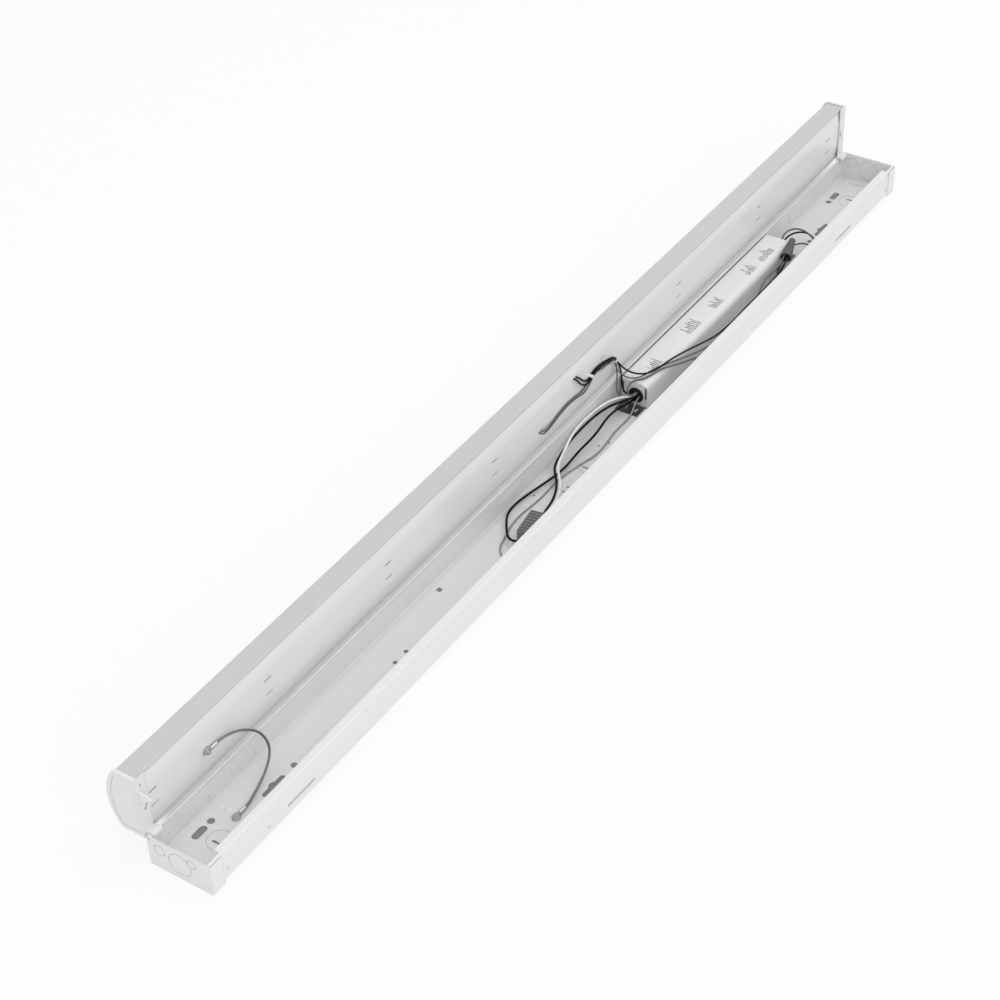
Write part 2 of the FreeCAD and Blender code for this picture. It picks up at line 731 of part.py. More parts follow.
def led_chips():
    """Square LED packages along both boards, left out under the clips and connectors."""
    chips = []
    z = door_mid_z + board_v
    blocked = [(x, clip_width / 2) for x in tray_slot_x] + [(0.0, link_length / 2)]
    count = int((half - board_end_gap - board_gap / 2) // chip_pitch)
    for side in (-1, 1):
        for k in range(count):
            x = side * (board_gap / 2 + chip_pitch * (k + 0.5))
            if all(abs(x - place) > reach + chip_size for place, reach in blocked):
                chips.append(block(x - chip_size / 2, x + chip_size / 2, board_back_y,
                                   board_back_y + chip_height, z - chip_size / 2, z + chip_size / 2))
    return chips


def led_board_clips():
    """Spring saddles over the boards; their legs stand in the tray's slot pairs."""
    clips = []
    z = door_mid_z + board_v
    inner = board_width / 2 + clip_side_gap
    for x in tray_slot_x:
        x0, x1 = x - clip_width / 2, x + clip_width / 2
        outer = block(x0, x1, tray_face_y, board_back_y + clip_strip,
                      z - inner - clip_strip, z + inner + clip_strip)
        clips.append(outer.cut(block(x0, x1, tray_face_y, board_back_y, z - inner, z + inner)))
    return clips


def led_connectors():
    """Push-in connectors on the back of the tray, where the leads come through."""
    z = door_mid_z
    edge = board_width / 2
    reach = connector_length / 2
    back = tray_back_y + connector_height
    high = block(black_holes[0] - reach, black_holes[0] + reach, tray_back_y, back,
                 z + board_v + edge, z + board_v + edge + connector_width)
    low = block(gray_holes[0] - reach, gray_holes[0] + reach, tray_back_y, back,
                z + board_v - edge - connector_low_width, z + board_v - edge)
    return [high, low]


def led_board_link():
    """Small board-to-board connector over the gap in the middle."""
    z = door_mid_z + board_v
    return block(-link_length / 2, link_length / 2, board_back_y, board_back_y + link_height,
                 z - link_width / 2, z + link_width / 2)


# ---- wire straps on the tray --------------------------------------------------------------------
def strap_frame(clip, turn):
    """Centre of a strap on the tray, the way the leads run through it, and across them."""
    angle = radians(turn)
    centre = V(clip[0], tray_face_y, door_mid_z + clip[1])
    return centre, V(cos(angle), 0, sin(angle)), V(sin(angle), 0, -cos(angle))


def through_strap(clip, turn, row, layer):
    """Two points of a lead that runs straight through a strap, in its row and layer."""
    centre, way, side = strap_frame(clip, turn)
    points = []
    for along in (-strap_run, strap_run):
        point = centre + way * along + side * (row * lead_spacing / 2)
        points.append((point.x, lead_y - layer * lead_spacing, point.z))
    return points


def tray_wire_straps():
    straps = []
    outer = strap_inside + strap_thickness
    for clip, turn in ((clip_1, clip_1_turn), (clip_2, clip_2_turn)):
        bridge = block(-strap_width / 2, strap_width / 2, -strap_clear - strap_thickness, 0,
                       -outer, outer)
        bridge = bridge.cut(block(-strap_width, strap_width, -strap_clear, THROUGH,
                                  -strap_inside, strap_inside))
        bridge.rotate(V(0, 0, 0), Y_AXIS, -turn)
        centre, way, side = strap_frame(clip, turn)
        bridge.translate(centre)
        straps.append(bridge)
    return straps


# ---- tether --------------------------------------------------------------------------------------
def eyelet(stud, out, along):
    """Ring round a stud, and the ferrule crimped on the cable; out points away from the sheet."""
    disc = rod(ring_r, stud, out, ring_thickness)
    axis_height = ferrule_r + ring_thickness / 8
    start = stud + along * ferrule_start + out * axis_height
    ferrule = rod(ferrule_r, start, along, ferrule_length)
    neck = rod(ferrule_r * 0.75, stud + along * (ring_r * 0.45) + out * (axis_height * 0.75), along,
               ferrule_start)
    sheet_side = rod(2 * ring_r, stud - out * ring_r, out, ring_r)
    body = disc.fuse([ferrule, neck]).cut(sheet_side)
    body = body.cut([rod(stud_r, stud, out, stud_length), nut_room(stud, out)])
    cable_end = rod(tether_d / 2, start + along * (ferrule_length / 2), along, ferrule_length)
    return body.cut(cable_end), start + along * (ferrule_length / 2)


def nut_room(stud, out):
    """Space round the nut, cut from the neck of the eyelet."""
    return rod(nut_across / sqrt(3) + 0.2, stud + out * ring_thickness, out, nut_height + ring_r)


def stud_nut(stud, out):
    nut = hexagon(nut_across, stud + out * ring_thickness, out, nut_height)
    return nut.cut(rod(stud_r, stud, out, stud_length + THROUGH))


def tether():
    """Two studs, nuts and eyelets, and the cable that stops the door from falling."""
    tray_stud = V(tray_stud_x, tray_face_y, door_mid_z + tray_stud_v)
    base_stud = V(base_stud_x, base_stud_y, sheet)
    out_tray = Y_AXIS * -1
    ring_tray, cable_start = eyelet(tray_stud, out_tray, X_AXIS)
    ring_base, cable_end = eyelet(base_stud, Z_AXIS, X_AXIS)
    loop = [                     # x counts from the lower stud
        (24.2, 33.2, 54.0), (30.1, 31.4, 54.3), (36.5, 29.8, 53.4), (43.0, 28.0, 51.1),
        (49.2, 26.0, 47.6), (54.8, 24.1, 43.2), (59.2, 22.2, 37.8), (62.0, 20.2, 31.4),
        (63.3, 18.2, 24.4), (62.0, 16.2, 18.0), (57.7, 14.2, 12.8), (50.8, 12.0, 8.8),
        (42.4, 9.8, 6.2), (33.4, 7.6, 4.7), (24.2, 5.6, 3.9), (15.4, 4.1, 2.8),
    ]
    route = [tuple(cable_start)] + [(base_stud_x + x, y, z) for x, y, z in loop]
    route.append(tuple(cable_end))
    route[1] = (route[1][0], cable_start.y, cable_start.z)
    route[-2] = (route[-2][0], cable_end.y, cable_end.z)
    return {
        "tether_stud_tray": rod(stud_r, tray_stud + Y_AXIS * tray_sheet, out_tray,
                                stud_length + tray_sheet),
        "tether_stud_base": rod(stud_r, base_stud - Z_AXIS * sheet, Z_AXIS, stud_length + sheet),
        "tether_nut_tray": stud_nut(tray_stud, out_tray),
        "tether_nut_base": stud_nut(base_stud, Z_AXIS),
        "tether_eyelet_tray": ring_tray,
        "tether_eyelet_base": ring_base,
        "tether_cable": lead("tether_cable", route, tether_d),
    }


# ---- driver --------------------------------------------------------------------------------------
def driver_section(inset, floor):
    """Section of the driver's case: square on the hinge side, rounded on the other."""
    left, right, top = driver_left - inset, driver_right + inset, driver_top - inset
    bend = driver_corner_r - inset
    slant = sqrt(0.5)
    curve = Part.Arc(V(0, right, top - bend),
                     V(0, right + bend * (1 - slant), top - bend * (1 - slant)),
                     V(0, right + bend, top))
    edges = [
        Part.LineSegment(V(0, left, floor), V(0, right, floor)).toShape(),
        Part.LineSegment(V(0, right, floor), V(0, right, top - bend)).toShape(),
        curve.toShape(),
        Part.LineSegment(V(0, right + bend, top), V(0, left, top)).toShape(),
        Part.LineSegment(V(0, left, top), V(0, left, floor)).toShape(),
    ]
    return Part.Face(Part.Wire(edges))


def driver_case():
    case = prism(driver_section(0, plate_top), driver_near, driver_far)
    case = case.cut(prism(driver_section(driver_sheet, plate_top - THROUGH),
                          driver_near + driver_sheet, driver_far - driver_sheet))
    tools = []
    for x in (driver_near, driver_far):
        tools.append(rod(bushing_neck_r, V(x - THROUGH, bushing_y, bushing_z), X_AXIS, 2 * THROUGH))
        for y in (driver_left - driver_sheet - corner_slit_width, driver_right + driver_sheet):
            tools.append(block(x - driver_sheet, x + driver_sheet, y, y + corner_slit_width,
                               corner_slit_bottom, driver_top - driver_corner_r / 2))
    return case.cut(tools)


def driver_base_plate():
    """Galvanised floor of the driver, with a foot at each end."""
    plate = block(driver_near, driver_far, driver_right, driver_left - liner, sheet, plate_top)
    tools = []
    feet = []
    for end, x in ((-1, driver_near), (1, driver_far)):
        x0, x1 = sorted((x, x + end * driver_foot))
        feet.append(block(x0, x1, driver_right + driver_foot_inset_right,
                          driver_left - driver_foot_inset_left, sheet, plate_top))
        screw = V(x + end * driver_screw_from_end, driver_screw_y, 0)
        tools.append(rod(screw_shank_r, screw, Z_AXIS, plate_top + THROUGH))
        slot_x = x + end * (driver_slot_from_end + driver_foot / 4)
        tools.append(slot_z(slot_x, driver_slot_y, driver_foot / 2.4, 2 * screw_shank_r, 0,
                            plate_top + THROUGH))
    return plate.fuse(feet).removeSplitter().cut(tools)


def driver_screws():
    screws = []
    for end, x in ((-1, driver_near), (1, driver_far)):
        foot = V(x + end * driver_screw_from_end, driver_screw_y, sheet)
        head = rod(screw_head_r, foot + Z_AXIS * driver_plate, Z_AXIS, screw_head_height)
        screw = head.fuse(rod(screw_shank_r, foot, Z_AXIS, driver_plate))
        drive_z = plate_top + screw_head_height / 2
        for length, width in ((screw_head_r * 1.2, 0.7), (0.7, screw_head_r * 1.2)):
            screw = screw.cut(block(foot.x - length / 2, foot.x + length / 2, foot.y - width / 2,
                                    foot.y + width / 2, drive_z, drive_z + screw_head_height))
        screws.append(screw)
    return screws


def driver_bushings():
    """Snap bushings where the leads come out of the driver, one in each end."""
    bushings = []
    for out, x in ((-1, driver_near), (1, driver_far)):
        axis = X_AXIS * out
        face = V(x, bushing_y, bushing_z)
        inner = face - axis * (driver_sheet + bushing_inner_flange)
        length = driver_sheet + bushing_inner_flange + bushing_flange
        body = rod(bushing_flange_r, face, axis, bushing_flange)
        body = body.fuse(rod(bushing_neck_r, inner, axis, length))
        body = body.fuse(rod(bushing_grip_r, inner, axis, bushing_inner_flange))
        bushings.append(body.cut(rod(bushing_bore_r, inner, axis, length)))
    return bushings


def driver_inside():
    """What the driver holds: a plastic liner with rails, the board and its larger parts."""
    near, far = driver_near + driver_sheet + 0.4, driver_far - driver_sheet - 0.4
    left, right = driver_left - driver_sheet - 0.4, driver_right + driver_sheet + 0.4
    floor = plate_top + liner
    tray = block(near, far, right, left, plate_top, floor)
    rails = [block(near, far, y, y + liner_rail_width, floor, floor + board_rise)
             for y in (right, left - liner_rail_width)]
    board_z = floor + board_rise
    b_near, b_far = near + driver_board_end_gap, far - driver_board_end_gap
    top = driver_board_top
    parts = {
        "driver_liner": tray.fuse(rails),
        "driver_board": block(b_near, b_far, right, left, board_z, top),
        "driver_choke": choke(driver_near + driver_length * 0.22, top),
        "driver_capacitors": [],
        "driver_terminals": [],
    }
    core, winding = transformer(driver_near + driver_length * 0.47, top)
    parts["driver_transformer_core"] = core
    parts["driver_transformer_winding"] = winding
    middle = (left + right) / 2
    for share, radius, height in ((0.34, 5.0, 16.0), (0.62, 5.0, 16.0), (0.68, 5.0, 16.0),
                                  (0.8, 6.3, 17.5)):
        x = driver_near + driver_length * share
        can = rod(radius, V(x, middle + 2.0, top), Z_AXIS, height)
        parts["driver_capacitors"].append(can)
    for x0 in (terminal_near, terminal_far - terminal_length):
        y0 = bushing_y - terminal_width / 2
        parts["driver_terminals"].append(block(x0, x0 + terminal_length, y0, y0 + terminal_width,
                                               top, terminal_top))
        parts["driver_board"] = parts["driver_board"].fuse(
            block(x0, x0 + terminal_length, y0, y0 + terminal_width, board_z, top))
    parts["driver_board"] = parts["driver_board"].removeSplitter()
    return parts


def transformer(x, floor):
    """Ferrite core with two windows, and the winding round its middle leg."""
    y = driver_right + driver_width / 2
    core = centred(x, y, floor, core_length, core_width, core_height)
    window = (core_length - core_middle_leg) / 2 - core_outer_leg
    for side in (-1, 1):
        middle = x + side * (core_middle_leg + window) / 2
        core = core.cut(centred(middle, y, floor + core_outer_leg, window, 2 * core_width,
                                core_height - 2 * core_outer_leg))
    room = 2 * winding_gap
    height = core_height - 2 * core_outer_leg - room
    winding = centred(x, y, floor + core_outer_leg + winding_gap,
                      core_middle_leg + 2 * window - room, core_width + window, height)
    leg = centred(x, y, floor, core_middle_leg + room, core_width + room, core_height)
    return core, winding.cut(leg)


def choke(x, floor):
    """Ring choke that stands on the board."""
    outer, inner, depth = 8.2, 3.4, 8.0
    y = driver_right + driver_width / 2 - depth / 2
    centre = V(x, y, floor + outer)
    base = block(x - outer * 0.6, x + outer * 0.6, y, y + depth, floor, floor + 2)
    return ring(outer, inner, centre, Y_AXIS, depth).fuse(base).removeSplitter()


# ---- surge module --------------------------------------------------------------------------------
def module_point(s, t, z):
    """A point of the surge module: s from its far end to the far, t from its hinge side inwards."""
    turn = radians(module_turn)
    x = module_corner[0] + s * cos(turn) + t * sin(turn)
    y = module_corner[1] + s * sin(turn) - t * cos(turn)
    return (x, y, z)


def place_module(shape):
    """Moves a shape from the module's own frame, where t runs along -Y, to its place."""
    placed = shape.copy()
    placed.rotate(V(0, 0, 0), Z_AXIS, module_turn)
    placed.translate(V(module_corner[0], module_corner[1], 0))
    return placed


def surge_module():
    """Small surge protector screwed to the back: case, foot plate, board and varistors."""
    floor = sheet + module_foot
    top = sheet + module_height
    case = block(-module_length, 0, -module_width, 0, floor, top)
    edges = [e for e in case.Edges if abs(e.Vertexes[0].Z - e.Vertexes[-1].Z) > 1 or
             min(v.Z for v in e.Vertexes) > top - 0.1]
    case = case.makeFillet(0.8, edges)
    case = case.cut(block(-module_length + module_wall, -module_wall, -module_width + module_wall,
                          -module_wall, 0, top - module_wall))
    ear = V(-module_length - module_ear_s, -module_ear_t, sheet)
    foot = block(-module_length, 0, -module_width, 0, sheet, floor)
    foot = foot.fuse(rod(module_ear_r, ear, Z_AXIS, module_foot))
    foot = foot.fuse(block(-module_length - module_ear_s, -module_length, -module_ear_t - module_ear_r,
                           -module_ear_t, sheet, floor)).removeSplitter()
    foot = foot.cut(rod(module_hole_r, ear, Z_AXIS, module_foot))
    screw = rod(screw_shank_r, ear, Z_AXIS, module_foot)
    screw = screw.fuse(rod(screw_head_r * 0.85, ear + Z_AXIS * module_foot, Z_AXIS,
                           screw_head_height * 0.7))
    screw = screw.cut(block(ear.x - 0.35, ear.x + 0.35, ear.y - 1.8, ear.y + 1.8,
                            floor + screw_head_height * 0.4, top))
    rise = 2.0
    edge = module_wall + 0.4
    board = block(-module_length + edge, -edge, -module_width + edge, -edge, floor + rise,
                  floor + rise + driver_board_thickness)
    legs = [block(x, x + 1.5, y, y + 1.5, floor, floor + rise)
            for x in (-module_length + edge + 1, -edge - 2.5)
            for y in (-module_width + edge + 1, -edge - 2.5)]
    discs_z = floor + rise + driver_board_thickness
    radius = (top - module_wall - discs_z - 0.3) / 2
    discs = []
    for share in (0.25, 0.5, 0.75):
        centre = V(-module_length * share - 1.5, -module_width / 2, discs_z + radius)
        disc = rod(radius, centre, X_AXIS, 3.0)
        lead_block = block(centre.x, centre.x + 3, centre.y - 1.5, centre.y + 1.5, discs_z, discs_z + 1)
        discs.append(place_module(disc.fuse(lead_block)))
    return {
        "surge_module_case": place_module(case),
        "surge_module_foot": place_module(foot),
        "surge_module_screw": place_module(screw),
        "surge_module_board": place_module(board.fuse(legs)),
        "surge_module_varistors": discs,
    }


# ---- wire nut and leads --------------------------------------------------------------------------
def nut_frame():
    way = (nut_tip - nut_mouth).normalize()
    side = Z_AXIS.cross(way).normalize()
    return way, side, way.cross(side)


def in_nut(along, side_steps, up_steps):
    """A point of a lead at the wire nut, in lead steps sideways and up from its axis."""
    way, side, up = nut_frame()
    point = nut_mouth + way * along + side * (side_steps * nut_lead_offset)
    return tuple(point + up * (up_steps * nut_lead_offset))


def wire_nut():
    """Tapered twist-on connector with six flutes and a skirt."""
    way, side, up = nut_frame()
    length = (nut_tip - nut_mouth).Length
    skirt = 7.0
    skirt_r = nut_mouth_r - 0.5
    body = Part.makeCone(nut_mouth_r, skirt_r, skirt, nut_mouth, way)
    body = body.fuse(Part.makeCone(skirt_r, nut_tip_r, length - skirt, nut_mouth + way * skirt, way))
    flute_r = 0.8
    tools = [rod(nut_bore_r, nut_mouth, way, nut_bore_depth)]
    for k in range(8):
        angle = k * pi / 4
        radial = side * cos(angle) + up * sin(angle)
        start = nut_mouth + way * (skirt + 1) + radial * (skirt_r + flute_r * 0.35)
        end = nut_mouth + way * length + radial * (nut_tip_r + flute_r * 0.35)
        tools.append(rod(flute_r, start, end - start, (end - start).Length))
    return body.cut(tools)


def at_bushing(end, angle):
    """Two points of a lead through a bushing; angle is its place round the middle, or None there."""
    spread = 0 if angle is None else bushing_lead_r
    turn = radians(angle or 0)
    y = bushing_y + spread * cos(turn)
    z = bushing_z + spread * sin(turn)
    x = terminal_near if end == "near" else terminal_far
    return [(x, y, z), (x + ENDS[end] * bushing_run, y, z)]


def into_hole(pair, side):
    """Last points of a lead: it turns into a hole in the tray and ends on the connector."""
    x = pair[0] + side * lead_hole_spacing / 2
    z = door_mid_z + pair[1]
    return [(x, tray_face_y - hole_stand_off, z), (x, tray_back_y, z)]


def module_end(s, t, z, away):
    """Last points of a lead that goes straight into an end of the surge module."""
    return [module_point(s + away, t, z), module_point(s, t, z)]


def leads():
    near_end = -module_length
    routes = {
        "supply_lead_black": (supply_d, at_bushing("near", 150) + [
            (94.0, 13.4, 15.0), (80.0, 19.6, 16.6), (63.0, 23.4, 17.9), (45.0, 24.8, 18.3),
            (27.0, 25.4, 18.0), (10.0, 25.3, 16.8), (-5.5, 24.7, 14.5), (-18.5, 23.3, 12.7),
            (-29.2, 20.4, 11.9), (-37.0, 15.2, 11.0), (-43.6, 9.4, 10.1), (-51.0, 4.2, 9.5),
            (-59.8, 0.2, 9.1), (-70.0, -3.6, 9.1)] + module_end(0, 11.5, 9.0, 12)),
        "supply_lead_white": (supply_d, at_bushing("near", None) + [
            (94.0, 17.4, 17.2), (80.0, 23.0, 20.2), (62.0, 26.2, 21.5), (44.0, 27.2, 21.8),
            (27.0, 27.3, 21.8), (11.0, 25.8, 20.8), (-3.5, 22.8, 18.2), (-16.0, 20.4, 15.4),
            (-26.6, 17.6, 13.8), (-35.0, 12.6, 12.6), (-42.0, 6.6, 11.4), (-50.0, 0.6, 10.4),
            (-60.0, -3.8, 9.7), (-70.5, -7.2, 9.3)] + module_end(0, 15.2, 9.0, 12)),
        "control_lead_black": (supply_d, at_bushing("near", -90) + [
            (92.0, 12.9, 11.2), (76.0, 16.1, 12.8), (60.5, 16.7, 12.2), (48.0, 15.3, 10.9),
            (36.7, 14.4, 9.9), (24.0, 14.5, 9.0), (11.0, 15.5, 7.9), (-2.0, 15.6, 6.8),
            (-15.0, 14.9, 5.9), (-28.5, 15.7, 5.3), (-40.5, 17.8, 5.0), (-54.0, 20.4, 5.1),
            (-70.0, 23.6, 4.9), (-85.0, 25.8, 5.0), (-97.0, 25.7, 5.4), (-106.5, 23.6, 6.0),
            (-113.5, 20.2, 6.6), (-121.2, 15.4, 7.2), (-129.6, 9.6, 7.7), (-137.6, 2.6, 8.0),
            (-138.7, -4.4, 8.1)] + module_end(near_end, 8.0, 8.0, -6)),
        "return_lead_gray": (return_d, at_bushing("near", -150) + [
            (97.5, 6.8, 7.4), (90.0, 5.7, 3.2), (80.0, 5.1, 1.95), (67.0, 5.9, 1.9),
            (53.0, 5.2, 1.9), (39.0, 3.3, 1.9), (26.0, 2.2, 1.9), (14.0, 2.9, 1.9),
            (3.0, 5.7, 1.9), (-8.5, 8.6, 1.9), (-21.0, 10.9, 1.9), (-33.5, 12.6, 1.9),
            (-46.0, 13.2, 1.9), (-59.0, 12.6, 1.9), (-72.0, 12.8, 1.9), (-83.0, 14.1, 1.9),
            (-94.0, 15.2, 1.9), (-105.0, 15.3, 1.9), (-115.5, 14.2, 1.9), (-125.5, 11.8, 1.9),
            (-135.0, 9.4, 1.9), (-143.5, 7.4, 1.9), (-150.2, 4.0, 1.9), (-155.6, -1.5, 1.9),
            (-158.4, -9.0, 1.9), (-156.0, -16.8, 1.9), (-148.8, -21.8, 2.6)]
            + module_end(near_end, 20.0, 4.0, -11)),
        "sense_lead_gray": (led_gray_d, at_bushing("near", -30) + [
            (98.2, 16.8, 12.6), (94.4, 21.2, 15.6), (94.0, 24.4, 20.4), (96.2, 26.4, 26.4),
            (99.6, 27.8, 32.6), (103.8, 30.8, 39.4)]
            + through_strap(clip_1, clip_1_turn, -1, 1)
            + [(88.5, 32.6, 54.0), (76.0, 32.9, 56.4)]
            + through_strap(clip_2, clip_2_turn, -1, 1)
            + [(52.5, 32.8, 48.9), (45.0, 33.2, 46.4), (35.5, lead_y, 47.6),
               (25.0, lead_y, 48.9), (14.0, lead_y, 48.8), (3.0, lead_y, 47.1),
               (-8.0, lead_y, 44.6), (-18.5, 33.4, 43.7), (-27.0, 32.4, 45.2)]
            + into_hole(gray_holes, -1)),
        "sense_lead_black": (led_black_d, at_bushing("near", 30) + [
            (100.8, 18.0, 16.6), (102.2, 23.0, 19.8), (104.8, 25.6, 26.0), (106.8, 27.0, 33.0),
            (108.6, 30.0, 40.0)]
            + through_strap(clip_1, clip_1_turn, 1, 1)
            + [(88.5, 32.4, 57.2), (76.5, 32.6, 59.6)]
            + through_strap(clip_2, clip_2_turn, 1, 1)
            + [(49.5, 32.4, 54.4), (43.4, 32.2, 57.8), (37.8, 32.0, 62.8), (34.2, 31.9, 67.4)]
            + into_hole(black_holes, -1)),
        "led_lead_gray": (led_gray_d, [in_nut(nut_bore_depth, 1, 1), in_nut(-6, 1, 1)] + [
            (370.5, -11.6, 27.2), (360.0, -11.2, 26.2), (347.5, -9.9, 25.5), (334.0, -10.6, 24.9),
            (320.5, -14.2, 23.8), (307.0, -17.2, 22.6), (290.0, -19.4, 21.8), (270.0, -20.5, 21.5),
            (247.0, -20.6, 21.8), (226.0, -19.6, 22.6), (209.0, -17.9, 23.8), (196.0, -15.6, 24.9),
            (183.5, -12.0, 25.9), (170.5, -7.6, 27.2), (158.5, -3.2, 28.6), (148.0, 0.9, 29.4),
            (137.0, 5.6, 30.3), (126.0, 7.4, 31.1), (115.8, 8.9, 31.9), (108.4, 12.2, 33.0),
            (104.6, 17.8, 33.8), (104.2, 24.0, 35.0), (105.0, 29.8, 37.2), (106.3, 32.8, 40.8)]
            + through_strap(clip_1, clip_1_turn, -1, 0)
            + [(87.5, lead_y, 55.4), (75.5, lead_y, 57.8)]
            + through_strap(clip_2, clip_2_turn, -1, 0)
            + [(50.5, lead_y, 51.2), (42.5, lead_y, 49.2), (33.0, lead_y, 50.7),
               (23.0, lead_y, 51.8), (12.0, lead_y, 51.6), (1.0, lead_y, 49.8),
               (-9.5, lead_y, 47.4), (-19.5, 33.2, 46.8)]
            + into_hole(gray_holes, 1)),
        "led_lead_black": (led_black_d, [in_nut(nut_bore_depth, -1, 1), in_nut(-6, -1, 1)] + [
            (371.5, -16.0, 27.4), (361.0, -17.3, 26.4), (347.0, -17.7, 25.6), (330.0, -17.4, 25.3),
            (310.0, -17.6, 25.1), (288.0, -17.3, 25.3), (266.0, -17.6, 25.1), (244.0, -17.4, 25.4),
            (226.0, -16.8, 26.2), (210.0, -14.4, 27.8), (194.0, -10.6, 29.6), (177.0, -6.3, 31.0),
            (162.0, -2.5, 31.7), (149.0, 0.2, 31.8), (138.0, 1.6, 32.1), (128.8, 3.2, 32.6),
            (120.8, 6.0, 33.6), (115.2, 10.6, 34.6), (112.2, 16.8, 35.4), (111.2, 23.4, 36.8),
            (111.2, 29.4, 39.4), (110.6, 33.0, 42.8)]
            + through_strap(clip_1, clip_1_turn, 1, 0)
            + [(88.0, lead_y, 58.4), (76.0, lead_y, 61.0)]
            + through_strap(clip_2, clip_2_turn, 1, 0)
            + [(49.5, lead_y, 58.0), (44.8, 33.6, 62.0), (40.0, 32.6, 66.8)]
            + into_hole(black_holes, 1)),
        "output_lead_upper": (output_d, at_bushing("far", 45) + [
            (427.0, 15.4, 19.6), (436.6, 17.0, 21.8), (446.0, 14.8, 22.3), (451.6, 8.2, 22.3),
            (451.2, -0.6, 22.0), (447.8, -8.6, 21.2), (443.0, -15.6, 20.0), (435.5, -21.8, 18.4),
            (425.0, -25.4, 16.8), (411.5, -26.6, 15.6), (397.5, -26.2, 15.2), (384.0, -26.9, 16.2),
            (372.5, -26.6, 17.0), (363.6, -25.8, 18.2), (359.6, -22.2, 19.8), (359.4, -16.9, 21.6),
            (363.2, -13.2, 23.4), (371.6, -12.8, 24.6)]
            + [in_nut(-5, -1, -1), in_nut(nut_bore_depth, -1, -1)]),
        "output_lead_lower": (output_d, at_bushing("far", -45) + [
            (428.0, 14.9, 14.6), (438.0, 14.3, 17.6), (447.4, 11.0, 18.2), (453.4, 4.8, 18.3),
            (454.8, -2.6, 18.0), (451.8, -10.0, 16.9), (446.0, -17.0, 15.0), (437.0, -22.8, 12.6),
            (425.5, -26.2, 10.8), (412.0, -27.2, 9.9), (398.0, -26.7, 9.6), (384.0, -27.0, 10.0),
            (371.0, -25.4, 12.0), (362.0, -20.6, 15.4), (361.6, -13.8, 19.6), (369.0, -9.8, 23.2)]
            + [in_nut(-5, 1, -1), in_nut(nut_bore_depth, 1, -1)]),
        "jumper_lead_gray": (return_d, at_bushing("far", -160) + [
            (428.0, 5.2, 12.8), (436.2, 1.8, 13.2), (441.8, -4.2, 13.0), (442.6, -11.6, 12.0),
            (438.4, -18.0, 10.2), (430.0, -23.0, 7.8), (418.0, -25.8, 5.8), (403.0, -26.4, 5.0),
            (383.0, -25.5, 4.8), (359.0, -24.8, 4.9), (333.0, -25.4, 4.7), (307.0, -24.9, 5.2),
            (281.0, -25.3, 5.0), (257.0, -24.8, 6.2), (236.0, -24.4, 9.2), (218.0, -23.4, 13.4),
            (203.0, -21.8, 18.0), (190.0, -19.0, 21.6), (178.0, -15.4, 24.4), (166.0, -11.0, 26.0),
            (154.0, -5.8, 27.4), (143.0, -0.8, 29.0), (132.0, 2.3, 29.7), (121.0, 4.9, 29.6),
            (113.8, 8.2, 29.8), (108.8, 12.8, 30.2), (103.4, 15.2, 28.6), (98.4, 15.6, 25.4),
            (96.4, 13.8, 20.8), (98.8, 11.6, 17.7)]
            + at_bushing("near", 90)[::-1]),
    }
    return {name: lead(name, points, diameter) for name, (diameter, points) in routes.items()}


# ---- all nodes -----------------------------------------------------------------------------------
def build():
    cap = housing_end_cap()
    nodes = {
        "housing_channel": housing_channel(),
        "housing_end_cap_near": cap,
        "housing_end_cap_far": mirrored(cap),
        "hinge_pins": hinge_pins(),
        "lens_end_cap_near": lens_end_cap(True),
        "lens_end_cap_far": mirrored(lens_end_cap(False)),
        "lens": lens(),
        "led_tray": led_tray(),
        "led_board_near": led_board(-1),
        "led_board_far": led_board(1),
        "led_chips": led_chips(),
        "led_board_clips": led_board_clips(),
        "led_connectors": led_connectors(),
        "led_board_link": led_board_link(),
        "tray_wire_straps": tray_wire_straps(),
        "driver_case": driver_case(),
        "driver_base_plate": driver_base_plate(),
        "driver_screws": driver_screws(),
        "driver_bushings": driver_bushings(),
        "wire_nut": wire_nut(),
    }
    nodes.update(driver_inside())
    nodes.update(surge_module())
    nodes.update(tether())
    nodes.update(leads())
    return nodes


def save(nodes):
    os.makedirs("parts", exist_ok=True)
    for name, shapes in nodes.items():
        solids = []
        for shape in shapes if isinstance(shapes, list) else [shapes]:
            solids += shape.Solids
        good = all(solid.isValid() and solid.Volume > 0 for solid in solids)
        print(f"{name}: {len(solids)} solids, {sum(s.Volume for s in solids):.0f} mm3, valid {good}")
        shape = solids[0] if len(solids) == 1 else Part.makeCompound(solids)
        shape.exportStep(f"parts/{name}.step")


save(build())
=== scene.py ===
# %% [markdown]
# # A four-foot strip light, opened for wiring
# The light lies on its back: a folded white steel channel with the LED driver in it, and a door with
# the lens and the LED tray that stands open on a hinge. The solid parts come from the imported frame,
# already in metres and in place. This notebook gives them their finishes, lays the leads and the
# tether cable as real flexible things, and sets the camera and the light.

# %% Load the frame
import json
from math import cos, pi, radians, sin

import bpy
import numpy as np
from mathutils import Matrix, Vector


